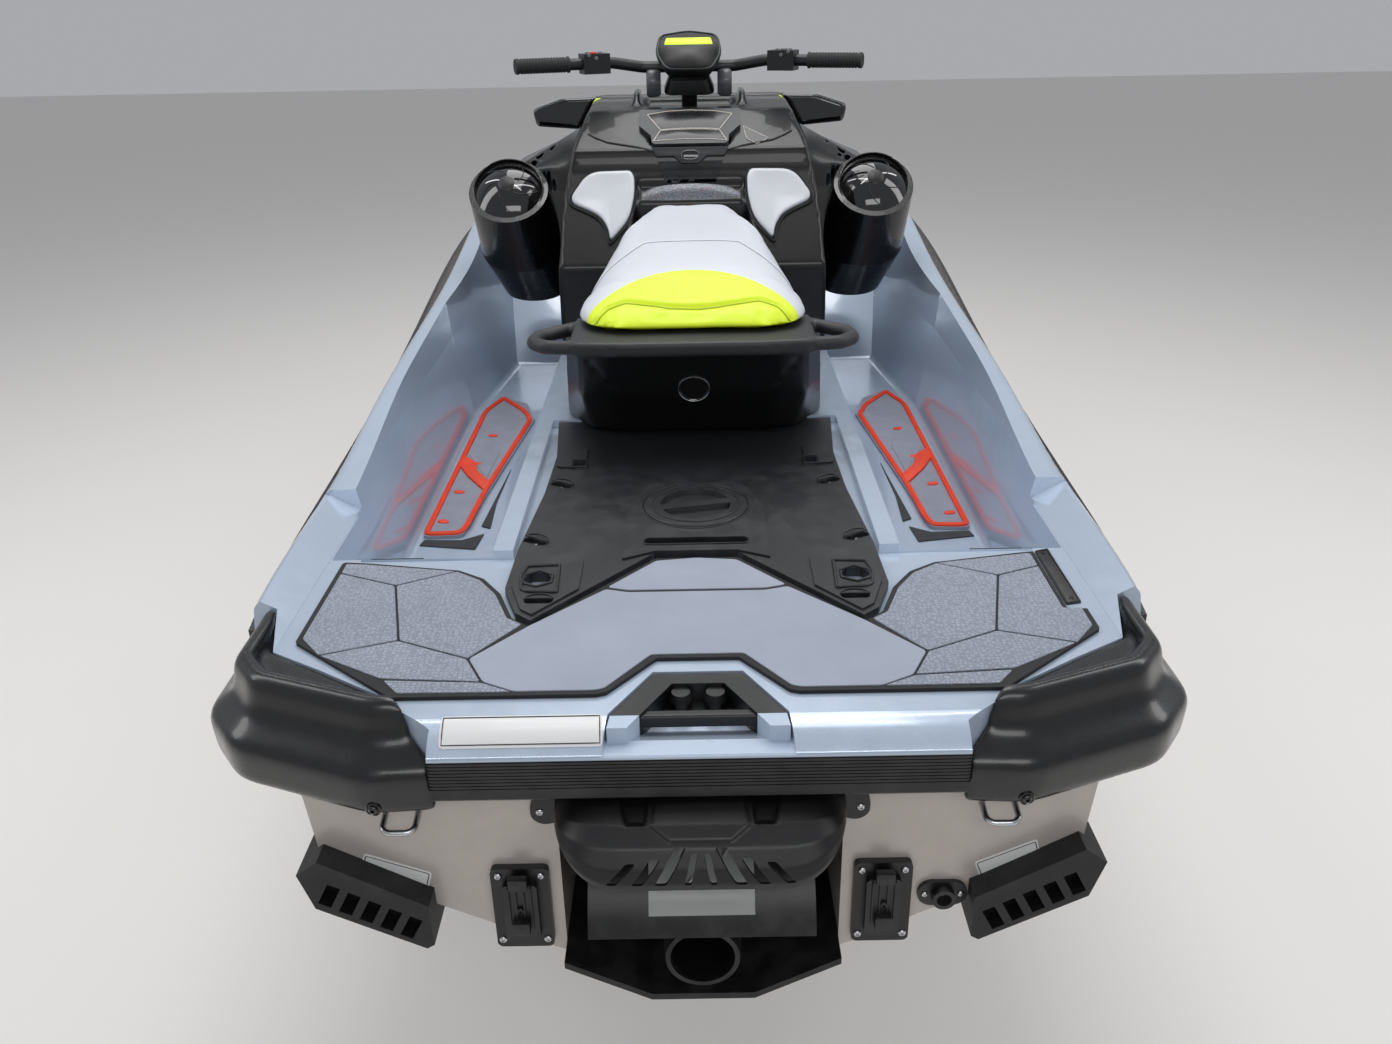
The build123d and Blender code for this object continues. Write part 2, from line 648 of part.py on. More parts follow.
# Grab handle that loops out under the seat's tail
HANDLE_TOP_Z = 681
HANDLE_FRONT_Y = 975
HANDLE_BAR_Z = (BASE_TOP_Z + HANDLE_TOP_Z) / 2
HANDLE_BAR_R = (HANDLE_TOP_Z - BASE_TOP_Z) / 2 - SEAT_GAP
handle_half = [(120, 798), (206, 806), (212, 840), (212, HANDLE_FRONT_Y)]
loop_path = [(200, 824), (252, 830), (278, 858), (270, 896), (214, 946)]
with BuildPart() as grab_handle:
    with BuildSketch(level(BASE_TOP_Z + SEAT_GAP)) as plate:
        Polygon(*handle_half, *[(-x, y) for x, y in reversed(handle_half)], align=None)
        fillet(plate.vertices().filter_by(lambda v: v.Y < 830), 16)
    extrude(amount=HANDLE_TOP_Z - BASE_TOP_Z - SEAT_GAP)
    # Loops for the fingers either side
    for side in (-1, 1):
        with BuildLine() as loop:
            FilletPolyline(*[(side * x, y, HANDLE_BAR_Z) for x, y in loop_path], radius=16)
        with BuildSketch(Plane(origin=loop.line @ 0, z_dir=loop.line % 0)):
            Circle(HANDLE_BAR_R)
        sweep(path=loop.line)
save(grab_handle.part, "grab_handle")

# Seat: side outline y, z and plan outline x, y
SEAT_FRONT_Y = 1548
SEAT_FRONT_Z = 780
SEAT_EDGE_R = 14
seat_side = [(842, HANDLE_TOP_Z + SEAT_GAP), (HANDLE_FRONT_Y + 2, HANDLE_TOP_Z + SEAT_GAP),
             (HANDLE_FRONT_Y + 2, BASE_TOP_Z + SEAT_GAP), (SEAT_FRONT_Y, BASE_TOP_Z + SEAT_GAP),
             (SEAT_FRONT_Y, SEAT_FRONT_Z), (1180, 768), (1000, 752), (895, 715), (842, 695)]
seat_plan = [(120, 842), (190, 862), (216, 930), (208, 1050), (190, 1200), (168, 1380), (132, 1500),
             (118, SEAT_FRONT_Y)]
with BuildPart() as seat:
    with BuildSketch(lengthwise(0)):
        Polygon(*seat_side, align=None)
    extrude(amount=300, both=True)
    with BuildSketch(level(600)):
        Polygon(*seat_plan, *[(-x, y) for x, y in reversed(seat_plan)], align=None)
    extrude(amount=300, mode=Mode.INTERSECT)
    fillet(seat.edges().filter_by(lambda e: e.center().Z > 690 and abs(e.center().X) > 100
                                  and abs(e.tangent_at(0.5).Z) < 0.6), SEAT_EDGE_R)
save(seat.part, "seat")

# Steering column: it turns in a bore of the console about its leaning axis
COLUMN_FOOT_Y = 1880
COLUMN_FOOT_Z = 974
COLUMN_LEAN = 24
COLUMN_R = 19
COLUMN_PLUNGE = 60
column_plane = Plane(origin=(0, COLUMN_FOOT_Y, COLUMN_FOOT_Z), x_dir=(1, 0, 0),
                     z_dir=(0, -sin(radians(COLUMN_LEAN)), cos(radians(COLUMN_LEAN))))
COLUMN_HEIGHT = 62
COLUMN_COVER_LIFT = 28

# Console
CONSOLE_X = 292
KNEE_FOOT_Z = 668
KNEE_TOP_Y = 1590
KNEE_TOP_Z = 850
LID_FOOT_Y = 1604
LID_FOOT_Z = 893
LID_SLOPE = 23.3
DASH_Y = 1764
dash_z = LID_FOOT_Z + (DASH_Y - LID_FOOT_Y) * tan(radians(LID_SLOPE))
console_side = [(SEAT_CUT_Y, ISLAND_Z + SEAT_GAP), (SEAT_CUT_Y, KNEE_FOOT_Z), (KNEE_TOP_Y, KNEE_TOP_Z),
                (LID_FOOT_Y, LID_FOOT_Z), (DASH_Y, dash_z), (1860, 975), (CONSOLE_FRONT_Y - SEAT_GAP, 970),
                (CONSOLE_FRONT_Y - SEAT_GAP, ISLAND_Z + SEAT_GAP)]
console_across = [(CONSOLE_X + 6, ISLAND_Z), (CONSOLE_X + 4, 640), (CONSOLE_X - 6, 800), (262, 905), (228, 985)]
# Slot for the front of the seat: the seat's own plan with room at its sides
SEAT_SIDE_ROOM = 3
slot_half = [(x + SEAT_SIDE_ROOM, y) for x, y in seat_plan[-3:]]
slot_half = [(slot_half[0][0], 1400), *slot_half[:-1], (slot_half[-1][0], SEAT_FRONT_Y + SEAT_GAP)]
COLLAR_X = seat_plan[-1][0] + SEAT_SIDE_ROOM
COLLAR_Y = 1577
COLLAR_RISE = 32
# Well round the foot of the column, between two fins
COLUMN_WELL_X = 112
COLUMN_WELL_Z = 955
FIN_TOP_Z = 998
GLOVEBOX_X = 90
GLOVEBOX_LENGTH = 118
LID_REAR = 6
LID_FRONT = 160
LID_BARREL_R = 5
lid_half = [(86, LID_REAR), (88, 42), (116, 86), (118, LID_FRONT)]
lid_plane = Plane(origin=(0, LID_FOOT_Y, LID_FOOT_Z), x_dir=(1, 0, 0),
                  z_dir=(0, -sin(radians(LID_SLOPE)), cos(radians(LID_SLOPE))))
# Axis of the lid's hinge, along its front edge
lid_axis_plane = Plane(origin=lid_plane.offset(SEAT_GAP).from_local_coords((-lid_half[-1][0], LID_FRONT, 0)),
                       x_dir=(0, 1, 0), z_dir=(1, 0, 0))
LID_BARREL_LENGTH = 2 * lid_half[-1][0] - 20
with BuildPart() as console:
    with BuildSketch(lengthwise(0)):
        Polygon(*console_side, align=None)
    extrude(amount=330, both=True)
    with BuildSketch(across(1300)):
        Polygon(*console_across, *[(-x, z) for x, z in reversed(console_across)], align=None)
    extrude(amount=-900, mode=Mode.INTERSECT)
    with BuildSketch(level(BASE_TOP_Z)):
        Polygon(*slot_half, *[(-x, y) for x, y in reversed(slot_half)], align=None)
    extrude(amount=400, mode=Mode.SUBTRACT)
    # Collar in front of the seat
    with BuildSketch(lengthwise(-COLLAR_X)):
        Polygon((SEAT_FRONT_Y - 4, SEAT_FRONT_Z + 2), (COLLAR_Y, SEAT_FRONT_Z + COLLAR_RISE), (COLLAR_Y, 900),
                (SEAT_FRONT_Y - 4, 900), align=None)
    extrude(amount=2 * COLLAR_X, mode=Mode.SUBTRACT)
    # Room over the engine
    with BuildSketch(level(400)):
        with Locations((0, (ENGINE_REAR_Y + ENGINE_FRONT_Y) / 2)):
            Rectangle(2 * (ENGINE_X + ENGINE_ROOM), ENGINE_FRONT_Y - ENGINE_REAR_Y + 2 * ENGINE_ROOM)
    extrude(amount=ENGINE_TOP_Z + ENGINE_ROOM - 400, mode=Mode.SUBTRACT)
    # Glovebox
    with BuildSketch(level(780)):
        with Locations((0, LID_FOOT_Y + 20)):
            RectangleRounded(2 * GLOVEBOX_X, GLOVEBOX_LENGTH, 14, align=(Align.CENTER, Align.MIN))
    extrude(amount=400, mode=Mode.SUBTRACT)
    # Groove of the lid's hinge barrel
    with BuildSketch(lid_axis_plane.offset(8)):
        Circle(LID_BARREL_R + SEAT_GAP)
    extrude(amount=LID_BARREL_LENGTH + 4, mode=Mode.SUBTRACT)
    # Well and fins of the column
    with BuildSketch(level(COLUMN_WELL_Z)):
        with Locations((0, 1802)):
            RectangleRounded(2 * COLUMN_WELL_X, 150, 20, align=(Align.CENTER, Align.MIN))
    extrude(amount=100, mode=Mode.SUBTRACT)
    for side in (-1, 1):
        with BuildSketch(lengthwise(side * (COLUMN_WELL_X + 6))):
            Polygon((1784, 955), (1812, FIN_TOP_Z - 8), (1840, FIN_TOP_Z), (1930, FIN_TOP_Z), (1980, 955), align=None)
        extrude(amount=side * 16)
    # Bore of the steering column
    with BuildSketch(column_plane.offset(-COLUMN_PLUNGE - 2)):
        Circle(COLUMN_R + RUNNING_FIT)
    extrude(amount=200, mode=Mode.SUBTRACT)
save(console.part, "console")

# Glovebox lid on the slope of the console
with BuildPart() as glovebox_lid:
    with BuildSketch(lid_plane.offset(SEAT_GAP)) as lid_plan:
        Polygon(*lid_half, *[(-x, y) for x, y in reversed(lid_half)], align=None)
        fillet(lid_plan.vertices().group_by(Axis.Y)[0], 12)
    extrude(amount=10)
    chamfer(glovebox_lid.edges().filter_by(lambda e: e.center().Z > LID_FOOT_Z + 20)
            .filter_by(Axis.X).sort_by(Axis.Y)[0], 3)
    # Hinge barrel
    with BuildSketch(lid_axis_plane.offset(10)):
        Circle(LID_BARREL_R)
    extrude(amount=LID_BARREL_LENGTH)
save(glovebox_lid.part, "glovebox_lid")

# Knee pads on the sloped shoulders of the console: plates along the slope, either side of the seat
knee_slope = degrees(atan2(KNEE_TOP_Z - KNEE_FOOT_Z, KNEE_TOP_Y - SEAT_CUT_Y))
knee_plane = Plane(origin=(0, SEAT_CUT_Y, KNEE_FOOT_Z), x_dir=(1, 0, 0),
                   z_dir=(0, -sin(radians(knee_slope)), cos(radians(knee_slope))))
KNEE_THICKNESS = 9
knee_outline = [(230, 230), (134, 232), (126, 215), (126, 172), (138, 112), (180, 59), (184, 90), (200, 118),
                (222, 133), (274, 158)]
with BuildPart() as knee_pads:
    with BuildSketch(knee_plane.offset(SEAT_GAP)) as pad:
        Polygon(*knee_outline, align=None)
        fillet(pad.vertices(), 5)
    extrude(amount=KNEE_THICKNESS)
    chamfer(knee_pads.faces().sort_by(Axis(knee_plane.origin, knee_plane.z_dir))[-1].edges(), 2)
    mirror(about=Plane.YZ)
save(knee_pads.part, "knee_pads")

# Steering column
with BuildPart() as steering_column:
    with BuildSketch(column_plane.offset(-COLUMN_PLUNGE)):
        Circle(COLUMN_R)
    extrude(amount=COLUMN_PLUNGE + COLUMN_COVER_LIFT + 6)
    with BuildSketch(column_plane.offset(COLUMN_COVER_LIFT)):
        RectangleRounded(120, 64, 20)
    with BuildSketch(column_plane.offset(COLUMN_HEIGHT)):
        RectangleRounded(96, 52, 18)
    loft()
save(steering_column.part, "steering_column")

# Handlebar on top of the column, with its switch blocks
BAR_R = 13
GRIP_R = 18
BAR_Y = 1862
BAR_Z = 1050
bar_half = [(0, BAR_Y, BAR_Z), (110, BAR_Y, BAR_Z), (180, BAR_Y - 22, BAR_Z + 12), (392, BAR_Y - 104, BAR_Z + 12)]

DISPLAY_TILT = 48
DISPLAY_Y = 1845
DISPLAY_Z = 1075
display_plane = Plane(origin=(0, DISPLAY_Y, DISPLAY_Z), x_dir=(1, 0, 0),
                      z_dir=(0, -sin(radians(DISPLAY_TILT)), cos(radians(DISPLAY_TILT))))


def display_point(along):
    """Point of the display's back in the side view, a clearance behind it."""
    back = display_plane.offset(-SEAT_GAP).from_local_coords((0, along, 0))
    return (back.Y, back.Z)


LEVER_Z = BAR_Z + 12
lever_path = [(236, BAR_Y - 34), (244, BAR_Y + 2), (282, BAR_Y - 2), (334, BAR_Y - 30)]
with BuildPart() as handlebar:
    with BuildLine() as bar_line:
        FilletPolyline(*[(-x, y, z) for x, y, z in reversed(bar_half[1:])], *bar_half[1:], radius=40)
    with BuildSketch(Plane(origin=bar_line.line @ 0, z_dir=bar_line.line % 0)):
        Circle(BAR_R)
    sweep(path=bar_line.line)
    # Clamp block over the column
    with BuildSketch(column_plane.offset(COLUMN_HEIGHT + SEAT_GAP)):
        RectangleRounded(92, 46, 12)
    extrude(amount=26)
    # Switch blocks
    for side in (-1, 1):
        with Locations(Location((side * 222, BAR_Y - 38, BAR_Z + 12), (0, 0, side * -21))):
            Box(64, 46, 44)
    # Finger levers ahead of the grips
    for side in (-1, 1):
        with BuildLine() as lever:
            FilletPolyline(*[(side * x, y, LEVER_Z) for x, y in lever_path], radius=12)
        with BuildSketch(Plane(origin=lever.line @ 0, x_dir=(0, 0, 1), z_dir=lever.line % 0)):
            Rectangle(16, 8)
        sweep(path=lever.line)
    # Neck that carries the display
    neck_low, neck_high = display_point(-24), display_point(28)
    with BuildSketch(lengthwise(-30)):
        Polygon(neck_low, neck_high, (BAR_Y + 6, BAR_Z), (BAR_Y - 26, BAR_Z - 15), align=None)
    extrude(amount=60)
save(handlebar.part, "handlebar")

bar_end = Vector(*bar_half[3])
bar_outward = (bar_end - Vector(*bar_half[2])).normalized()
GRIP_LENGTH = 122
with BuildPart() as grips:
    with BuildSketch(Plane(origin=bar_end + bar_outward * 4, z_dir=-bar_outward)):
        Circle(GRIP_R)
    extrude(amount=GRIP_LENGTH)
    with BuildSketch(Plane(origin=bar_end, z_dir=-bar_outward)):
        Circle(BAR_R + RUNNING_FIT)
    extrude(amount=GRIP_LENGTH + 40, mode=Mode.SUBTRACT)
    mirror(about=Plane.YZ)
save(grips.part, "grips")

# Display on the middle of the bar
display_face = [(-94, -30), (-80, 40), (0, 54), (80, 40), (94, -30), (74, -54), (-74, -54)]
DISPLAY_BACK_SHARE = 0.8
DISPLAY_DEPTH = 26
with BuildPart() as display:
    for offset_out, share in ((0, DISPLAY_BACK_SHARE), (DISPLAY_DEPTH, 1)):
        with BuildSketch(display_plane.offset(offset_out)):
            Polygon(*[(x * share, along * share) for x, along in display_face], align=None)
    loft(ruled=True)
save(display.part, "display")

# Hood: front storage lid over the bow. y, base x, side x, side z, middle x, middle z, top x, top z
HOOD_BASE_GAP = 0.5
HOOD_WALL = 8
HOOD_REAR_Y = CONSOLE_FRONT_Y + 7
HOOD_BASE_Z = 690
hood_stations = [
    (HOOD_REAR_Y, 300, 302, 800, 292, 880, 236, 976),
    (HOOD_REAR_Y + 100, 500, 490, 780, 300, 885, 232, 970),
    (bow_y(0.225), 500, 480, 790, 290, 870, 208, 936),
    (bow_y(0.453), 400, 380, 790, 240, 835, 150, 880),
    (HOOD_PIVOT_Y, 260, 240, 765, 170, 785, 92, 795),
]


def hood_form(inset):
    """Outer shape of the hood, or its hollow where an inset is given."""
    with BuildPart() as form:
        for y, base_x, side_x, side_z, middle_x, middle_z, top_x, top_z in hood_stations:
            half = [(base_x - inset, HOOD_BASE_Z - inset), (side_x - inset, side_z - inset / 2),
                    (middle_x - inset, middle_z - inset / 2), (top_x - inset / 2, top_z - inset)]
            add(section(y + (inset if y < HOOD_REAR_Y + 50 else -inset), half + [(-x, z) for x, z in reversed(half)]))
        loft(ruled=True)
    return form.part


with BuildPart() as bow_top:
    with BuildSketch(lengthwise(0)):
        with BuildLine():
            Spline(*[(y, z + HOOD_BASE_GAP) for y, z in deck_top])
            Polyline((LENGTH - 18, deck_top[-1][1] + HOOD_BASE_GAP), (LENGTH - 18, 1200), (0, 1200),
                     (0, deck_top[0][1] + HOOD_BASE_GAP))
        make_face()
    extrude(amount=800, both=True)
with BuildPart() as hood:
    add(hood_form(0))
    add(hood_form(HOOD_WALL), mode=Mode.SUBTRACT)
    add(bow_top.part, mode=Mode.INTERSECT)
    with BuildSketch(lengthwise(-HOOD_BARREL_X)):
        with Locations((HOOD_PIVOT_Y, HOOD_PIVOT_Z)):
            Circle(HOOD_BARREL_R)
    extrude(amount=2 * HOOD_BARREL_X)
save(hood.part, "hood")

# Mirrors on the hood's shoulders: section of the housing, x, z
mirror_section = [(200, 972), (330, 968), (404, 944), (396, 902), (270, 892), (200, 905)]
MIRROR_DEPTH = 90
with BuildPart() as mirrors:
    with BuildSketch(across(HOOD_REAR_Y + 8)):
        Polygon(*mirror_section, align=None)
    extrude(amount=-MIRROR_DEPTH)
    fillet(mirrors.edges().filter_by(lambda e: e.center().X > 320), 10)
    add(hood_form(-0.6), mode=Mode.SUBTRACT)
    add(hood_form(2), mode=Mode.SUBTRACT)
    mirror(about=Plane.YZ)
save(mirrors.part, "mirrors")

# Storage bin hung in the deck by its lip
with BuildPart() as storage_bin:
    add(bin_space(0, BIN_FLOOR_Z, 722))
    add(bin_space(-BIN_WALL, BIN_FLOOR_Z + BIN_WALL), mode=Mode.SUBTRACT)
save(storage_bin.part, "storage_bin")

# Speaker pods either side of the console: bucket under the dome's ring, down to the deck
POD_TILT = 50
pod_axis = Vector(0, -cos(radians(POD_TILT)), sin(radians(POD_TILT)))
POD_R = 94
POD_WAIST_R = 105
POD_FOOT_R = 80
DOME_R = 80
DOME_Y = 1722
DOME_Z = 790
dome_plane = Plane(origin=(434, DOME_Y, DOME_Z), x_dir=(1, 0, 0), z_dir=pod_axis)
waist_plane = Plane(origin=(415, DOME_Y + 68, DOME_Z - 150), x_dir=(1, 0, 0), z_dir=(0, -0.35, 0.94))
foot_plane = Plane(origin=(400, DOME_Y + 128, DOME_Z - 262), x_dir=(1, 0, 0), z_dir=(0, -0.2, 0.98))
with BuildPart() as pods:
    for plane, radius in ((dome_plane, POD_R), (waist_plane, POD_WAIST_R), (foot_plane, POD_FOOT_R)):
        with BuildSketch(plane):
            Circle(radius)
    loft(ruled=True)
    # Arm to the console's side
    with BuildSketch(lengthwise(CONSOLE_X - 8)):
        Polygon((1740, 620), (1850, 560), (1900, 640), (1860, 760), (1770, 780), align=None)
    extrude(amount=80)
    with BuildSketch(across(1300)):
        Polygon(*[(x + SEAT_GAP, z) for x, z in console_across], (0, 985), (0, ISLAND_Z), align=None)
    extrude(amount=-900, mode=Mode.SUBTRACT)
    mirror(about=Plane.YZ)
save(pods.part, "pods")
DOME_HEIGHT = 32
dome_sphere_r = (DOME_R ** 2 + DOME_HEIGHT ** 2) / (2 * DOME_HEIGHT)
with BuildPart() as pod_domes:
    with BuildSketch(dome_plane.offset(SEAT_GAP)):
        Circle(DOME_R)
    extrude(amount=DOME_HEIGHT)
    with Locations(dome_plane.offset(DOME_HEIGHT - dome_sphere_r)):
        Sphere(dome_sphere_r, mode=Mode.INTERSECT)
    mirror(about=Plane.YZ)
save(pod_domes.part, "pod_domes")

# Footwell mats
MAT_FLOOR_Z = WELL_FLOOR_Z + SEAT_GAP
with BuildPart() as well_mats:
    with BuildSketch(level(MAT_FLOOR_Z)) as pad:
        Polygon((505, 822), (430, 826), (414, 1030), (374, 1440), (405, 1550), (470, 1606), (505, 1500), align=None)
        fillet(pad.vertices(), 14)
    extrude(amount=6)
    mirror(about=Plane.YZ)
save(well_mats.part, "well_mats")

# Jet pump: wear ring and venturi with its stator, bolted to the front wall of the tunnel
RING_R = 88
BORE_R = 78
VENTURI_Y = 220
VENTURI_R = 66
HUB_R = 32
STATOR_FRONT_Y = 400
with BuildPart() as pump_housing:
    with BuildSketch(lengthwise(0)) as wall:
        with BuildLine():
            Polyline((VENTURI_Y, JET_Z + 52), (STATOR_FRONT_Y - 40, JET_Z + BORE_R),
                     (TUNNEL_FRONT_Y - SEAT_GAP, JET_Z + BORE_R),
                     (TUNNEL_FRONT_Y - SEAT_GAP, JET_Z + RING_R + 6), (TUNNEL_FRONT_Y - 16, JET_Z + RING_R + 6),
                     (TUNNEL_FRONT_Y - 16, JET_Z + RING_R), (STATOR_FRONT_Y - 40, JET_Z + RING_R),
                     (VENTURI_Y, JET_Z + VENTURI_R), close=True)
        make_face()
    revolve(axis=Axis((0, 0, JET_Z), (0, 1, 0)))
    # Stator hub and vanes
    with BuildSketch(across(STATOR_FRONT_Y)):
        with Locations((0, JET_Z)):
            Circle(HUB_R)
            with PolarLocations(0, 7):
                Rectangle(BORE_R + 4, 5, align=(Align.MIN, Align.CENTER))
    extrude(amount=60)
    with BuildSketch(across(STATOR_FRONT_Y + 5)):
        with Locations((0, JET_Z)):
            Circle(SHAFT_R + RUNNING_FIT)
    extrude(amount=45, mode=Mode.SUBTRACT)
    # Lugs above and below that hold the nozzle's pins, and side arms for the gate's pins
    for up in (-1, 1):
        with BuildSketch(level(JET_Z + up * 78)) as lug:
            with Locations((0, NOZZLE_PIVOT_Y)):
                Circle(14)
            with Locations((0, (NOZZLE_PIVOT_Y + 260) / 2)):
                Rectangle(28, 260 - NOZZLE_PIVOT_Y)
        extrude(amount=-up * 9)
        with BuildSketch(level(JET_Z + up * 78)):
            with Locations((0, NOZZLE_PIVOT_Y)):
                Circle(NOZZLE_PIN_R)
        extrude(amount=-up * 19)
    for side in (-1, 1):
        with BuildSketch(lengthwise(side * GATE_ARM_X)):
            with Locations((GATE_PIVOT_Y, JET_Z)):
                Circle(20)
            with Locations(((GATE_PIVOT_Y + 300) / 2, JET_Z)):
                Rectangle(300 - GATE_PIVOT_Y, 30)
        extrude(amount=side * 8)
        with BuildSketch(lengthwise(side * 60)):
            with Locations((285, JET_Z)):
                Rectangle(30, 30)
        extrude(amount=side * (GATE_ARM_X + 8 - 60))
        with BuildSketch(lengthwise(side * (GATE_ARM_X + 8))):
            with Locations((GATE_PIVOT_Y, JET_Z)):
                Circle(GATE_PIN_R)
        extrude(amount=side * 14)
save(pump_housing.part, "pump_housing")

# Impeller on its shaft, which runs forward to the engine
BLADE_COUNT = 3
TIP_GAP = 1
IMPELLER_Y = STATOR_FRONT_Y + 60 + 4
IMPELLER_LENGTH = 86
pump_axis = Axis((0, 0, JET_Z), (0, 1, 0))
with BuildPart() as blade:
    for radius, pitch_angle, thickness in ((HUB_R - 8, 36, 7), (BORE_R + 6, 62, 4)):
        with BuildSketch(Plane(origin=(radius, IMPELLER_Y + IMPELLER_LENGTH / 2, JET_Z), x_dir=(0, 1, 0),
                               z_dir=(1, 0, 0))):
            Rectangle(96, thickness, rotation=pitch_angle)
    loft(ruled=True)
    with BuildSketch(across(IMPELLER_Y)):
        with Locations((0, JET_Z)):
            Circle(BORE_R - TIP_GAP)
    extrude(amount=-IMPELLER_LENGTH, mode=Mode.INTERSECT)
with BuildPart() as impeller:
    with BuildSketch(across(STATOR_FRONT_Y + 10)):
        with Locations((0, JET_Z)):
            Circle(SHAFT_R)
    extrude(amount=-(ENGINE_REAR_Y - 1 - STATOR_FRONT_Y - 10))
    with BuildSketch(across(IMPELLER_Y - 3)):
        with Locations((0, JET_Z)):
            Circle(HUB_R)
    extrude(amount=-(IMPELLER_LENGTH + 6))
    for turn in range(BLADE_COUNT):
        add(blade.part.rotate(pump_axis, 360 / BLADE_COUNT * turn))
save(impeller.part, "impeller")

# Steering nozzle, on pins above and below
NOZZLE_END_Y = -20
NOZZLE_END_R = 46
NOZZLE_WALL = 6
with BuildPart() as nozzle:
    with BuildSketch(lengthwise(0)):
        Polygon((NOZZLE_END_Y, JET_Z + NOZZLE_END_R - NOZZLE_WALL), (NOZZLE_PIVOT_Y + 16, JET_Z + 56),
                (NOZZLE_PIVOT_Y + 16, JET_Z + 62), (NOZZLE_PIVOT_Y - 20, JET_Z + 62),
                (NOZZLE_END_Y, JET_Z + NOZZLE_END_R), align=None)
    revolve(axis=pump_axis)
    for up in (-1, 1):
        with BuildSketch(level(JET_Z + up * 57)):
            with Locations((0, NOZZLE_PIVOT_Y)):
                Circle(14)
        extrude(amount=up * (78 - 9 - 57 - SEAT_GAP))
    with BuildSketch(level(JET_Z - 90)):
        with Locations((0, NOZZLE_PIVOT_Y)):
            Circle(NOZZLE_PIN_R + RUNNING_FIT)
    extrude(amount=180, mode=Mode.SUBTRACT)
save(nozzle.part, "nozzle")

# Reverse gate, a curved bucket that swings down behind the nozzle
GATE_CLEARANCE = 18
GATE_R = GATE_PIVOT_Y - NOZZLE_END_Y + GATE_CLEARANCE
GATE_WALL = 7
GATE_SIDE = 7
GATE_LOW_ANGLE = 20
GATE_HIGH_ANGLE = 76
gate_x = GATE_ARM_X + 8 + SEAT_GAP


def gate_point(radius, angle):
    """Point of the gate's side view, at an angle above straight aft of its pivot."""
    return (GATE_PIVOT_Y - radius * cos(radians(angle)), JET_Z + radius * sin(radians(angle)))


GATE_MID_ANGLE = (GATE_LOW_ANGLE + GATE_HIGH_ANGLE) / 2
with BuildPart() as reverse_gate:
    with BuildSketch(lengthwise(0)) as side_view:
        with BuildLine():
            ThreePointArc(gate_point(GATE_R, GATE_LOW_ANGLE), gate_point(GATE_R, GATE_MID_ANGLE),
                          gate_point(GATE_R, GATE_HIGH_ANGLE))
            Line(gate_point(GATE_R, GATE_HIGH_ANGLE), gate_point(GATE_R + GATE_WALL, GATE_HIGH_ANGLE))
            ThreePointArc(gate_point(GATE_R + GATE_WALL, GATE_HIGH_ANGLE),
                          gate_point(GATE_R + GATE_WALL, GATE_MID_ANGLE),
                          gate_point(GATE_R + GATE_WALL, GATE_LOW_ANGLE))
            Line(gate_point(GATE_R + GATE_WALL, GATE_LOW_ANGLE), gate_point(GATE_R, GATE_LOW_ANGLE))
        make_face()
    extrude(amount=gate_x + GATE_SIDE, both=True)
    for side in (-1, 1):
        with BuildSketch(lengthwise(side * gate_x)):
            with BuildLine():
                Polyline(gate_point(GATE_R + 2, GATE_HIGH_ANGLE), (GATE_PIVOT_Y + 10, JET_Z + 17),
                         (GATE_PIVOT_Y - 6, JET_Z - 17),
                         gate_point(GATE_R + 2, GATE_LOW_ANGLE))
                ThreePointArc(gate_point(GATE_R + 2, GATE_LOW_ANGLE), gate_point(GATE_R + 2, GATE_MID_ANGLE),
                              gate_point(GATE_R + 2, GATE_HIGH_ANGLE))
            make_face()
            with Locations((GATE_PIVOT_Y, JET_Z)):
                Circle(18)
                Circle(GATE_PIN_R + RUNNING_FIT, mode=Mode.SUBTRACT)
        extrude(amount=side * GATE_SIDE)
save(reverse_gate.part, "reverse_gate")

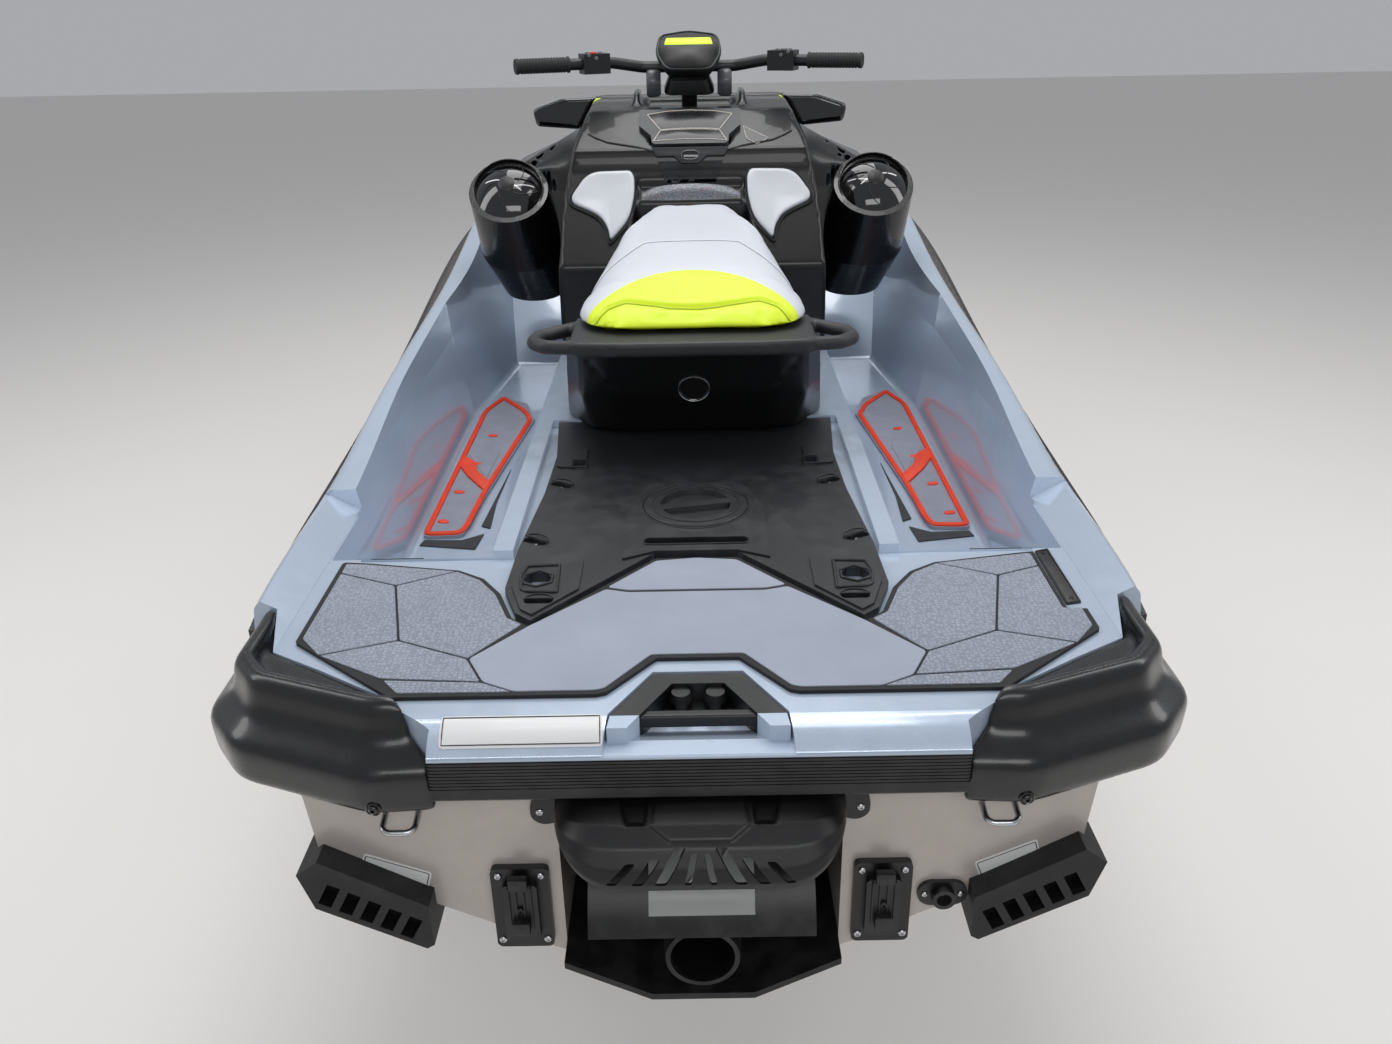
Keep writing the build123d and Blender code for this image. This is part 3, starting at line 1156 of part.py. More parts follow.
# Pump cover over the gate, with a fan of slots in its lower lip
COVER_HALF_X = 175
COVER_WALL = 8
COVER_ROOF_Z = 362
LIP_Z = 288
EAR_X = 208
SLOT_COUNT = 8
SLOT_PITCH = 27
cover_profile = [(TRANSOM_Y - SEAT_GAP, COVER_ROOF_Z), (20, COVER_ROOF_Z), (-48, 338), (-64, LIP_Z + 6), (-58, LIP_Z)]
cover_corner = [(COVER_HALF_X, 400), (COVER_HALF_X, 326), (128, LIP_Z - 2)]
with BuildPart() as pump_cover:
    with BuildSketch(lengthwise(0)):
        Polygon(*cover_profile, (-50, LIP_Z + 4), (-37, 329), (22, COVER_ROOF_Z - 10),
                (TRANSOM_Y - SEAT_GAP, COVER_ROOF_Z - 10), align=None)
    extrude(amount=COVER_HALF_X, both=True)
    for side in (-1, 1):
        with BuildSketch(lengthwise(side * (COVER_HALF_X - COVER_WALL))):
            Polygon(*cover_profile, (TRANSOM_Y - SEAT_GAP, 300), align=None)
        extrude(amount=side * COVER_WALL)
    with BuildSketch(across(-100)):
        Polygon(*cover_corner, *[(-x, z) for x, z in reversed(cover_corner)], align=None)
    extrude(amount=-(TRANSOM_Y + 100), mode=Mode.INTERSECT)
    # Ears that fasten it to the transom
    for side in (-1, 1):
        with BuildSketch(across(TRANSOM_Y - SEAT_GAP)):
            Polygon(*[(side * x, z) for x, z in [(COVER_HALF_X - COVER_WALL, 318), (190, 292), (EAR_X, 292),
                                                 (EAR_X, 346), (COVER_HALF_X - COVER_WALL, 352)]], align=None)
        extrude(amount=8)
    # Raised field in the middle of the roof
    with BuildSketch(lengthwise(-84)):
        Polygon((14, COVER_ROOF_Z - 4), (6, COVER_ROOF_Z + 4), (-52, 343), (-48, 334), align=None)
    extrude(amount=168)
    with BuildSketch(across(-100)):
        for i in range(SLOT_COUNT):
            share = i - (SLOT_COUNT - 1) / 2
            with Locations((share * SLOT_PITCH, 312)):
                SlotOverall(32, 9, rotation=90 + share * 8)
    extrude(amount=-72, mode=Mode.SUBTRACT)
save(pump_cover.part, "pump_cover")

# Ride plate that closes the tunnel from below
PLATE_FLAT_X = 67
plate_edge_x = TUNNEL_X - SEAT_GAP
with BuildPart() as ride_plate:
    with BuildSketch(across(20)):
        Polygon((-PLATE_FLAT_X, 26), (PLATE_FLAT_X, 26), (plate_edge_x, 84), (plate_edge_x, 94), (PLATE_FLAT_X, 36),
                (-PLATE_FLAT_X, 36), (-plate_edge_x, 94), (-plate_edge_x, 84), align=None)
    extrude(amount=-(TUNNEL_FRONT_Y - SEAT_GAP - 20))
save(ride_plate.part, "ride_plate")

# Intake grate: bars along the duct's mouth on two cross bars
grate_bars = [-54, -27, 0, 27, 54]
with BuildPart() as intake_grate:
    for x in grate_bars:
        with BuildSketch(lengthwise(x - 4)):
            Polygon((694, 20 + 0.3 * abs(x)), (1040, 20 + 0.3 * abs(x)), (1040, 48), (694, 48), align=None)
        extrude(amount=8)
    for y in (694, 1026):
        with BuildSketch(level(36)):
            with Locations((0, y)):
                Rectangle(2 * DUCT_X - 2 * SEAT_GAP, 14, align=(Align.CENTER, Align.MIN))
        extrude(amount=12)
save(intake_grate.part, "intake_grate")

# Sponsons along the chines at the stern
with BuildPart() as sponsons:
    with BuildSketch(across(26)):
        Polygon((342, 122), (352, 116), (484, 186), (500, 240), (472, 260), (342, 186), align=None)
    extrude(amount=-620)
    with BuildSketch(across(26)):
        with Locations(*[(368 + 24 * i, 152 + 13.5 * i) for i in range(5)]):
            Rectangle(17, 34, rotation=28)
    extrude(amount=-26, mode=Mode.SUBTRACT)
    add(hull_form(SEAT_GAP), mode=Mode.SUBTRACT)
    mirror(about=Plane.YZ)
save(sponsons.part, "sponsons")

# Brackets on the transom either side of the tunnel
with BuildPart() as transom_brackets:
    for side in (-1, 1):
        with BuildSketch(across(TRANSOM_Y - SEAT_GAP)):
            with Locations((side * 230, 158)):
                RectangleRounded(74, 130, 8)
        extrude(amount=10)
        with BuildSketch(across(TRANSOM_Y - SEAT_GAP - 10)):
            with Locations((side * 230, 158)):
                RectangleRounded(44, 92, 6)
        extrude(amount=10)
save(transom_brackets.part, "transom_brackets")

# Flushing port
PORT_X = 308
PORT_Z = 167
PORT_R = 9.5
with BuildPart() as flush_port:
    with BuildSketch(across(TRANSOM_Y - SEAT_GAP)):
        with Locations((PORT_X, PORT_Z)):
            SlotOverall(64, 38)
            Circle(PORT_R, mode=Mode.SUBTRACT)
    extrude(amount=6)
    with BuildSketch(across(TRANSOM_Y - SEAT_GAP - 6)):
        with Locations((PORT_X, PORT_Z)):
            Circle(15)
            Circle(PORT_R, mode=Mode.SUBTRACT)
    extrude(amount=12)
save(flush_port.part, "flush_port")


def eye_loop(feet, out, radius):
    """U shaped tie-down eye between two feet, standing out by a vector."""
    left, right = feet
    with BuildPart() as eye:
        with BuildLine() as centre:
            a, d = Vector(*left), Vector(*right)
            b, c = a + Vector(*out), d + Vector(*out)
            FilletPolyline(a, b, c, d, radius=radius)
        with BuildSketch(Plane(origin=left, z_dir=Vector(*out))):
            Circle(4)
        sweep(path=centre.line)
    return eye.part


EYE_Z = 312
with BuildPart() as stern_eyes:
    add(eye_loop(((346, TRANSOM_Y + 8, EYE_Z + 2), (386, TRANSOM_Y + 8, EYE_Z + 2)), (0, -42, -10), 12))
    with BuildSketch(across(TRANSOM_Y - SEAT_GAP)):
        with Locations((366, EYE_Z)):
            Rectangle(80, 80)
    extrude(amount=-40, mode=Mode.SUBTRACT)
    mirror(about=Plane.YZ)
save(stern_eyes.part, "stern_eyes")
with BuildPart() as bow_eye:
    add(eye_loop(((0, bow_y(0.872), 428), (0, bow_y(0.892), 462)), (0, 62, -44), 10))
    add(hull_form(SEAT_GAP), mode=Mode.SUBTRACT)
save(bow_eye.part, "bow_eye")
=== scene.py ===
from math import copysign, cos, dist, exp, hypot, pi, radians, sin, sqrt, tau

import bmesh
import bpy
from mathutils import Matrix, Vector
from mathutils.bvhtree import BVHTree


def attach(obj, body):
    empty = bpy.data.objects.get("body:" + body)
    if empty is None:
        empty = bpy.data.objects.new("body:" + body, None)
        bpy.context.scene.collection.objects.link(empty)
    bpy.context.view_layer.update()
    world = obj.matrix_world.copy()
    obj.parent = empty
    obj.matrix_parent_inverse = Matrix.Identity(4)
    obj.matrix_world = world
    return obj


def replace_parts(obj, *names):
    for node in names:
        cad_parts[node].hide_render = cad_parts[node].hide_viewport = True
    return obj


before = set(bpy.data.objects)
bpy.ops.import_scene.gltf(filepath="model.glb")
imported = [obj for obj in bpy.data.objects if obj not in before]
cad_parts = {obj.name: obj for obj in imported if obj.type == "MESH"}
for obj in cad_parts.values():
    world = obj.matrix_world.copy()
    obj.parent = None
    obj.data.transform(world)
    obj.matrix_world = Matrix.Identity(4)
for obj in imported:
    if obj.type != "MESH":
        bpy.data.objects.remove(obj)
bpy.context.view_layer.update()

# Camera
# It stands behind the stern and looks down over it, as in the photograph.
# Place and turn come from a fit of known sizes to the picture.
PHOTO_WIDTH = 1392
FOCAL_PIXELS = 1133.47
SENSOR_WIDTH = 36
CAMERA_PLACE = (0.0046, -2.5033, 0.9428)
CAMERA_PITCH, CAMERA_YAW, CAMERA_ROLL = 25.30, -0.158, 1.0831


def placed(thing):
    """Puts a new object in the scene."""
    bpy.context.scene.collection.objects.link(thing)
    return thing


camera_data = bpy.data.cameras.new("camera")
camera_data.sensor_width = SENSOR_WIDTH
camera_data.lens = FOCAL_PIXELS * SENSOR_WIDTH / PHOTO_WIDTH
camera_data.clip_end = 60
camera = placed(bpy.data.objects.new("camera", camera_data))
stance = Matrix.Translation(CAMERA_PLACE)
for angle, axis in ((-CAMERA_YAW, "Z"), (90 - CAMERA_PITCH, "X"), (-CAMERA_ROLL, "Z")):
    stance = stance @ Matrix.Rotation(radians(angle), 4, axis)
camera.matrix_world = stance
bpy.context.scene.camera = camera

# Floor and light
# A pale floor well below the keel, with soft light from large panels overhead.
# The panels' numbers are their power in watts.
FLOOR_Z = -0.70


def wired(node, sockets):
    """Sets a shader node's sockets to numbers, or links them to the outputs of other nodes."""
    for socket, value in sockets.items():
        if isinstance(value, bpy.types.NodeSocket):
            node.id_data.links.new(value, node.inputs[socket])
        else:
            node.inputs[socket].default_value = value
    return node


floor_mesh = bpy.data.meshes.new("floor")
floor_corners = [(x, y, FLOOR_Z) for x, y in ((-14, -8), (14, -8), (14, 20), (-14, 20))]
floor_mesh.from_pydata(floor_corners, [], [(0, 1, 2, 3)])
placed(bpy.data.objects.new("floor", floor_mesh))
floor_material = bpy.data.materials.new("floor")
floor_material.use_nodes = True
wired(floor_material.node_tree.nodes["Principled BSDF"], {"Base Color": (0.78, 0.76, 0.73, 1), "Roughness": 0.55})
floor_mesh.materials.append(floor_material)
world = bpy.data.worlds.new("studio")
world.use_nodes = True
wired(world.node_tree.nodes["Background"], {"Color": (0.93, 0.95, 1.0, 1), "Strength": 0.42})
bpy.context.scene.world = world
bpy.context.scene.view_settings.view_transform = "Standard"
# name, place, size, power, point looked at
panels = [
    ("panel_front", (0.0, 1.2, 4.2), (2.2, 4.5), 78, (0, 0.2, 0)),
    ("panel_left", (-3.6, -0.8, 3.0), (1.2, 3.6), 50, (0, 0, 0.2)),
    ("panel_right", (3.6, -0.6, 3.0), (1.2, 3.6), 50, (0, 0, 0.2)),
    ("panel_stern", (0.4, -4.6, 2.6), (3.2, 1.2), 44, (0, -1.2, 0)),
    ("strip_left", (-0.8, 0.4, 2.9), (0.10, 4.0), 14, (-0.2, 0, 0)),
    ("strip_right", (0.8, 0.4, 2.9), (0.10, 4.0), 14, (0.2, 0, 0)),
]
for name, place, size, power, target in panels:
    light_data = bpy.data.lights.new(name, "AREA")
    light_data.shape = "RECTANGLE"
    light_data.size, light_data.size_y = size
    light_data.energy = power
    light = placed(bpy.data.objects.new(name, light_data))
    light.location = place
    light.rotation_euler = (Vector(target) - Vector(place)).to_track_quat("-Z", "Y").to_euler()


# Hull
# Planing bottom, chines and transom are one moulding from stern to bow, bonded to the deck behind the rub rail.
# It is fibre-filled resin in warm grey with a satin skin.
SCUFF_SCALE, FLAKE_SCALE, CELL_SCALE = 28, 1400, 170
GRAIN_DEPTH, CELL_DEPTH, COAT_ROUGHNESS = 0.0008, 0.0006, 0.04


def linear(red, green, blue):
    """Shader colour of an eight-bit screen colour."""
    return [((c / 255 + 0.055) / 1.055) ** 2.4 if c > 10 else c / 3294.6 for c in (red, green, blue)] + [1]


def tinted(base, share, lift=0.0):
    """Shader colour made darker or lighter by a share."""
    return [min(1, c * share + lift) for c in base[:3]] + [1]


def added(tree, kind, sockets, **settings):
    """Adds a wired shader node of a kind."""
    node = tree.nodes.new("ShaderNode" + kind)
    for setting, value in settings.items():
        setattr(node, setting, value)
    return wired(node, sockets)


def noise(tree, place, scale, detail):
    """Noise of a scale at each place."""
    return added(tree, "TexNoise", {"Scale": scale, "Detail": detail, "Vector": place}).outputs["Fac"]


def blended(tree, first, second, factor, how="MIX"):
    """Mix of two colours by a factor."""
    return added(tree, "Mix", {"Factor": factor, 6: first, 7: second}, data_type="RGBA", blend_type=how).outputs[2]


def ranged(tree, value, low, high, to_low, to_high):
    """Value spread from one range to another."""
    return added(tree, "MapRange", {"Value": value, "From Min": low, "From Max": high, "To Min": to_low,
                                    "To Max": to_high}).outputs["Result"]


def finish_of(name, colour, roughness, metallic=0.0, coat=0.0, mottle=0.1, mottle_scale=3.0, grain=0.0,
              grain_scale=900.0, rough_spread=0.08, flake=0.0, wear=0.0, cells_and_groove_shade=0.0, specular=0.5):
    """Material with soft colour variation, uneven gloss, worn edges and a fine surface grain, all from noise."""
    material = bpy.data.materials.new(name)
    material.use_nodes = True
    tree = material.node_tree
    shader = wired(tree.nodes["Principled BSDF"], {
        "Metallic": metallic, "Coat Weight": coat, "Coat Roughness": COAT_ROUGHNESS, "Specular IOR Level": specular})
    place = added(tree, "TexCoord", {}).outputs["Object"]
    base = linear(*colour)
    ramp = added(tree, "ValToRGB", {"Fac": noise(tree, place, mottle_scale, 6)})
    for stop, position, share in ((0, 0.3, 1 - mottle), (1, 0.7, 1 + mottle)):
        ramp.color_ramp.elements[stop].color = tinted(base, share)
        ramp.color_ramp.elements[stop].position = position
    skin = ramp.outputs["Color"]
    scuff = noise(tree, place, SCUFF_SCALE, 8)
    if flake:
        specks = added(tree, "TexVoronoi", {"Scale": FLAKE_SCALE, "Vector": place}).outputs["Color"]
        skin = blended(tree, skin, specks, flake, "OVERLAY")
    if cells_and_groove_shade:
        edge_gap = added(tree, "TexVoronoi", {"Scale": CELL_SCALE, "Randomness": 0.55, "Vector": place},
                         feature="DISTANCE_TO_EDGE").outputs["Distance"]
        rise = ranged(tree, edge_gap, 0.03, 0.16, 0, 1)
        # Painted shade: the grooves between the cells are darkened to about a third of the base colour.
        skin = blended(tree, skin, tinted(base, 0.35), ranged(tree, edge_gap, 0.03, 0.16, cells_and_groove_shade, 0))
    if wear:
        ridge = ranged(tree, added(tree, "NewGeometry", {}).outputs["Pointiness"], 0.51, 0.58, 0, wear)
        rubbed = added(tree, "Math", {0: ridge, 1: ranged(tree, scuff, 0.42, 0.62, 0, 1)}, operation="MULTIPLY")
        skin = blended(tree, skin, tinted(base, 1.6, 0.03), rubbed.outputs["Value"])
    wired(shader, {"Base Color": skin, "Roughness": ranged(
        tree, scuff, 0, 1, max(0.02, roughness - rough_spread), min(1, roughness + rough_spread))})
    if grain or cells_and_groove_shade:
        bump = added(tree, "Bump", {"Strength": grain, "Distance": GRAIN_DEPTH,
                                    "Height": noise(tree, place, grain_scale, 4)})
        if cells_and_groove_shade:
            bump = added(tree, "Bump", {"Strength": min(1, cells_and_groove_shade * 2), "Distance": CELL_DEPTH, "Height": rise,
                                        "Normal": bump.outputs["Normal"]})
        wired(shader, {"Normal": bump.outputs["Normal"]})
    return material


def dress(material, *nodes):
    """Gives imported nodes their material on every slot."""
    for node in nodes:
        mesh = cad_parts[node].data
        if not mesh.materials:
            mesh.materials.append(material)
        for slot in range(len(mesh.materials)):
            mesh.materials[slot] = material


hull_grey = finish_of("hull_grey", (176, 168, 162), 0.34, metallic=0.2, coat=0.3, mottle=0.04, flake=0.05, wear=0.1)
dress(hull_grey, "hull")

# Jet pump line
# Cast pump and nozzle with machined faces, a bright turned impeller and the black moulded reverse gate.
# Ride plate and intake grate are bolted under the hull.
cast_metal = finish_of("cast_metal", (48, 49, 51), 0.46, metallic=0.85, mottle=0.12, grain=0.5, grain_scale=500,
                       wear=0.5)
bright_steel = finish_of("bright_steel", (196, 197, 200), 0.24, metallic=1.0, mottle=0.04, rough_spread=0.1,
                         grain=0.05)
rough_black = finish_of("rough_black", (15, 15, 16), 0.55, mottle=0.15, grain=0.5, grain_scale=700, wear=0.35)
satin_black = finish_of("satin_black", (16, 16, 17), 0.36, mottle=0.12, grain=0.22, grain_scale=1500, wear=0.4)
dress(cast_metal, "pump_housing", "nozzle")
dress(bright_steel, "impeller")
dress(satin_black, "reverse_gate")
dress(rough_black, "ride_plate", "intake_grate", "engine_block")

# Stern fittings
# Black moulded brackets, flushing port and sponsons, and mooring eyes bent from bright rod.
# They are bolted on the transom with stainless button-head screws.
BRACKET_X, BRACKET_Z = 230, 158
FLUSH_X, FLUSH_Z = 308, 167
SCREW_R, SMALL_SCREW_R = 5.2, 4.2
AFT, UP = (0, -1, 0), (0, 0, 1)


def at(x, y, z):
    """Place in row-frame metres of a point in mm: x to starboard, y ahead of the stern face, z above the keel."""
    return Vector((x / 1000, y / 1000 - 1.45, z / 1000 - 0.28))


def piece(name, mesh_work, material, body="craft", sharp=38):
    """Object from a worked mesh, with smooth faces between sharp edges, its material and body."""
    bmesh.ops.recalc_face_normals(mesh_work, faces=mesh_work.faces)
    for face in mesh_work.faces:
        face.smooth = True
    mesh = bpy.data.meshes.new(name)
    mesh_work.to_mesh(mesh)
    mesh_work.free()
    mesh.materials.append(material)
    mesh.set_sharp_from_angle(angle=radians(sharp))
    made = placed(bpy.data.objects.new(name, mesh))
    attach(made, body)
    return made


surfaces = {}


def touch(node, start, direction):
    """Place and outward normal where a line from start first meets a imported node."""
    if node not in surfaces:
        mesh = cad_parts[node].data
        surfaces[node] = BVHTree.FromPolygons([v.co for v in mesh.vertices], [p.vertices for p in mesh.polygons])
    place, normal, _, _ = surfaces[node].ray_cast(start, Vector(direction))
    if place is None:
        raise RuntimeError("nothing of %s lies on the line from %s" % (node, list(start)))
    return place, normal


def from_astern(node, x, z, start_y=-300):
    """Place and normal on a node's stern side."""
    return touch(node, at(x, start_y, z), (0, 1, 0))


def skinned(mesh_work, rows, closed=True, capped=True, endless=False):
    """Skins equal rows of points. Closed rows run round, capped ends get faces, endless skins join last to first."""
    corners = [[mesh_work.verts.new(p) for p in row] for row in rows]
    count = len(corners[0])
    for low, high in zip(corners, corners[1:] + (corners[:1] if endless else [])):
        for k in range(count if closed else count - 1):
            beside = (k + 1) % count
            mesh_work.faces.new((low[k], low[beside], high[beside], high[k]))
    if capped:
        mesh_work.faces.new(corners[0])
        mesh_work.faces.new(corners[-1])
    return corners


def turned(mesh_work, profile, base, axis, steps=32):
    """Adds a turned form: profile of (radius, height) in mm, stood on base along axis."""
    lift = Vector(axis).normalized()
    side = lift.orthogonal().normalized()
    other = lift.cross(side)
    angles = [tau * k / steps for k in range(steps)]
    skinned(mesh_work, [[base + lift * (height / 1000) + (side * cos(a) + other * sin(a)) * (radius / 1000)
                         for a in angles] for radius, height in profile])


def screw(mesh_work, base, axis, radius):
    """Adds a button-head screw with a socket."""
    r = radius
    turned(mesh_work, [(r, -1.0), (r, 0.2 * r), (0.86 * r, 0.42 * r), (0.6 * r, 0.55 * r), (0.46 * r, 0.57 * r),
                       (0.4 * r, 0.2 * r), (0.05 * r, 0.18 * r)], base, axis, 18)


dress(satin_black, "transom_brackets", "flush_port")
dress(rough_black, "sponsons")
dress(bright_steel, "stern_eyes")
stern_screws = bmesh.new()
for side in (-1, 1):
    for across, up in ((-27, 54), (27, 54), (-29, -52), (29, -52)):
        place, _ = from_astern("transom_brackets", side * BRACKET_X + across, BRACKET_Z + up)
        screw(stern_screws, place, AFT, SCREW_R)
for across in (-23, 23):
    place, _ = from_astern("flush_port", FLUSH_X + across, FLUSH_Z)
    screw(stern_screws, place, AFT, SMALL_SCREW_R)
piece("stern_screws", stern_screws, bright_steel)

# Bracket straps
# Each bracket carries a ribbed channel, a clip with a screw and a raised tab, in the same black plastic.
# They are moulded on its plate.
UPRIGHT, LEVEL = (0, 0, 1), (0, 1, 0)


def neighbours(outline):
    """Each corner of an outline with the ones before and after it."""
    return zip(outline[-1:] + outline[:-1], outline, outline[1:] + outline[:1])


def inset(outline, distance):
    """Outline moved inwards by distance, corner for corner."""
    area = sum(a[0] * b[1] - b[0] * a[1] for a, b in zip(outline, outline[1:] + outline[:1]))
    turn_way = 1 if area > 0 else -1
    moved = []
    for before, here, after in neighbours(outline):
        first = Vector((here[0] - before[0], here[1] - before[1])).normalized()
        second = Vector((after[0] - here[0], after[1] - here[1])).normalized()
        normal = (Vector((-first.y, first.x)) + Vector((-second.y, second.x))) * turn_way
        reach = max(0.35, 1 + first.dot(second))
        moved.append((here[0] + normal.x * distance / reach, here[1] + normal.y * distance / reach))
    return moved


def rounded(outline, radius, steps=4):
    """Outline with each corner eased by about the radius."""
    eased = []
    for before, here, after in neighbours(outline):
        here = Vector(here)
        arms = [Vector(before) - here, Vector(after) - here]
        cut = min(radius, 0.45 * arms[0].length, 0.45 * arms[1].length)
        start, end = (here + arm.normalized() * cut for arm in arms)
        for k in range(steps + 1):
            t = k / steps
            eased.append(tuple(start * (1 - t) ** 2 + here * (2 * t * (1 - t)) + end * t ** 2))
    return eased


def laid(origin, along):
    """Turns (u, v, w) in mm into a place: u to starboard, v along a plane, w standing out of it."""
    across, along = Vector((1, 0, 0)), Vector(along).normalized()
    out = across.cross(along)
    return lambda u, v, w: origin + (across * u + along * v + out * w) / 1000


def slab(mesh_work, outline, height, lay, edge=0.6, low=0.0):
    """Adds a plate with an eased upper edge."""
    skinned(mesh_work, [[lay(u, v, w) for u, v in inset(outline, shrink)] for shrink, w in (
        (0, low), (0, height - edge), (0.3 * edge, height - 0.3 * edge), (edge, height))])


def block(half_u, half_v, u=0, v=0):
    """Rectangle outline about a centre."""
    return [(u - half_u, v - half_v), (u + half_u, v - half_v), (u + half_u, v + half_v), (u - half_u, v + half_v)]


straps = bmesh.new()
for side in (-1, 1):
    place, _ = from_astern("transom_brackets", side * BRACKET_X, BRACKET_Z + 8)
    lay = laid(Vector((at(side * BRACKET_X, 0, 0).x, place.y, at(0, 0, BRACKET_Z).z)), UPRIGHT)
    for across in (-14, -5, 5, 14):
        slab(straps, block(1.2, 34, across, 10), 3, lay, 0.5, -0.5)
    slab(straps, rounded(block(12, 9, 0, 54), 3), 9, lay, 1.5, -0.5)
    slab(straps, rounded(block(11, 10, 0, -16), 3), 12, lay, 1.5, -0.5)
    screw(straps, lay(0, 8, 2.5), AFT, 4.6)
piece("bracket_straps", straps, satin_black)

# Pump guard
# The moulded guard over the jet is a rounded bowl with a raised middle field, two recesses and fanned slots.
# Its flange is screwed to the transom at both ears.
GUARD_HALF, GUARD_LIP, GUARD_ROOF, GUARD_WALL = 177, 288, 362, 0.004
GUARD_COLUMNS, GUARD_ROWS = 141, 68
TRANSOM_FACE = 59.5
guard_line = [(TRANSOM_FACE, 362), (34, 362), (4, 359.5), (-24, 351), (-46, 336), (-59, 315), (-63.5, 298),
              (-61, 288)]
guard_steps = [dist(a, b) for a, b in zip(guard_line, guard_line[1:])]
# outline by width and run, height, width of the slope round it
guard_forms = (([(-36, 103), (-57, 86), (-45, 10), (45, 10), (57, 86), (36, 103)], 3.2, 2.4),
               ([(60, 26), (100, 26), (86, 84), (64, 84)], -5.5, 3.5),
               ([(-100, 26), (-60, 26), (-64, 84), (-86, 84)], -5.5, 3.5))
# width and height of a slot's top, width of its foot, half width
guard_slots = ((7, 331, 15, 4), (23, 337, 47, 7), (52, 326, 74, 6.5), (80, 322, 104, 6))
SLOT_FOOT_Z = 297
ear_line = [(150, 366), (186, 366), (196, 344), (209, 322), (209, 300), (196, 290), (178, 292), (164, 330)]


def within(outline, u, v):
    """Distance in mm inside a convex outline that runs anticlockwise, negative outside."""
    return min(((b[0] - a[0]) * (v - a[1]) - (b[1] - a[1]) * (u - a[0])) / dist(a, b)
               for a, b in zip(outline, outline[1:] + outline[:1]))


def guard_spot(x, run):
    """Place on the guard at a width and a run in mm along its middle line, down from the transom."""
    left = run
    for (first, second), step in zip(zip(guard_line, guard_line[1:]), guard_steps):
        if left <= step or second == guard_line[-1]:
            break
        left -= step
    y, z = (a + (b - a) * left / step for a, b in zip(first, second))
    wide = min(1.0, abs(x) / GUARD_HALF)
    pull = (1 - wide ** 7) ** 0.45
    top, foot = GUARD_ROOF - 26 * wide ** 8, GUARD_LIP + 44 * max(0, (abs(x) - 104) / 73) ** 1.6
    z = foot + (z - GUARD_LIP) / (GUARD_ROOF - GUARD_LIP) * (top - foot)
    lift = sum(height * max(0.0, min(1.0, within(outline, x, run) / ease + 0.5))
               for outline, height, ease in guard_forms)
    lean = radians(90 - 100 * min(1, run / 150))
    return at(x, TRANSOM_FACE - (TRANSOM_FACE - y) * pull - lift * cos(lean), z + lift * sin(lean))


def on_side(side, outline):
    """Outline of the starboard side, mirrored where side is -1."""
    return [(side * u, v) for u, v in outline]


def applied(thing):
    """Makes an object's own mesh of what its modifiers make of it."""
    mesh = bpy.data.meshes.new_from_object(thing.evaluated_get(bpy.context.evaluated_depsgraph_get()))
    thing.modifiers.clear()
    thing.data = mesh
    return mesh


guard = bmesh.new()
skinned(guard, [[guard_spot(-GUARD_HALF + 2 * GUARD_HALF * k / (GUARD_COLUMNS - 1),
                            sum(guard_steps) * row / (GUARD_ROWS - 1)) for k in range(GUARD_COLUMNS)]
                for row in range(GUARD_ROWS)], closed=False, capped=False)
bmesh.ops.recalc_face_normals(guard, faces=guard.faces)
bmesh.ops.solidify(guard, geom=guard.faces[:], thickness=GUARD_WALL)
guard_shell = piece("guard_shell", guard, satin_black)
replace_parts(guard_shell, "pump_cover")
slots = bmesh.new()
for side in (-1, 1):
    for top_x, top_z, foot_x, half in guard_slots:
        outline = on_side(side, [(top_x - half, top_z), (top_x + half, top_z), (foot_x + half, SLOT_FOOT_Z),
                                 (foot_x - half, SLOT_FOOT_Z)])
        skinned(slots, [[at(x, y, z) for x, z in rounded(outline, 4, 3)] for y in (-110, -14)])
bmesh.ops.recalc_face_normals(slots, faces=slots.faces)
slot_mesh = bpy.data.meshes.new("slot_tool")
slots.to_mesh(slot_mesh)
slots.free()
slot_tool = placed(bpy.data.objects.new("slot_tool", slot_mesh))
cut = guard_shell.modifiers.new("cut", "BOOLEAN")
cut.operation, cut.object, cut.solver = "DIFFERENCE", slot_tool, "EXACT"
bpy.context.view_layer.update()
applied(guard_shell)
bpy.data.objects.remove(slot_tool)
ears, ear_screws = bmesh.new(), bmesh.new()
ear_lay = laid(at(0, TRANSOM_FACE, 0), UPRIGHT)
for side in (-1, 1):
    slab(ears, rounded(on_side(side, ear_line), 10, 4), 7, ear_lay, 1.6, 0.2)
    for x, z in ((178, 354), (197, 310)):
        screw(ear_screws, ear_lay(side * x, z, 6.4), AFT, SCREW_R)
piece("guard_ears", ears, satin_black)
piece("guard_screws", ear_screws, bright_steel)

# Deck
# Pale blue-grey metallic moulding with a gloss coat, from the platform's rim to the bow.
# It sits on the hull's flange under the rub rail.
DECK_BLUE = (176, 190, 208)
deck_paint = finish_of("deck_paint", DECK_BLUE, 0.2, metallic=0.25, coat=0.9, mottle=0.03, flake=0.07, wear=0.06)
dress(deck_paint, "deck")

# Rails and bumpers
# Black moulded rub rail down each side, a nose bumper, and thick stern bumpers with soft edges.
# The bumpers are screwed on at their foot, and the bow eye is bolted through.
bumper_black = finish_of("bumper_black", (15, 16, 17), 0.27, grain=0.12, grain_scale=1300, coat=0.25,
                         wear=0.35)
gloss_black = finish_of("gloss_black", (11, 11, 12), 0.06, coat=0.7, rough_spread=0.03, grain=0.02)
BUMPER_SCREW_X, BUMPER_SCREW_Z = 385, 352


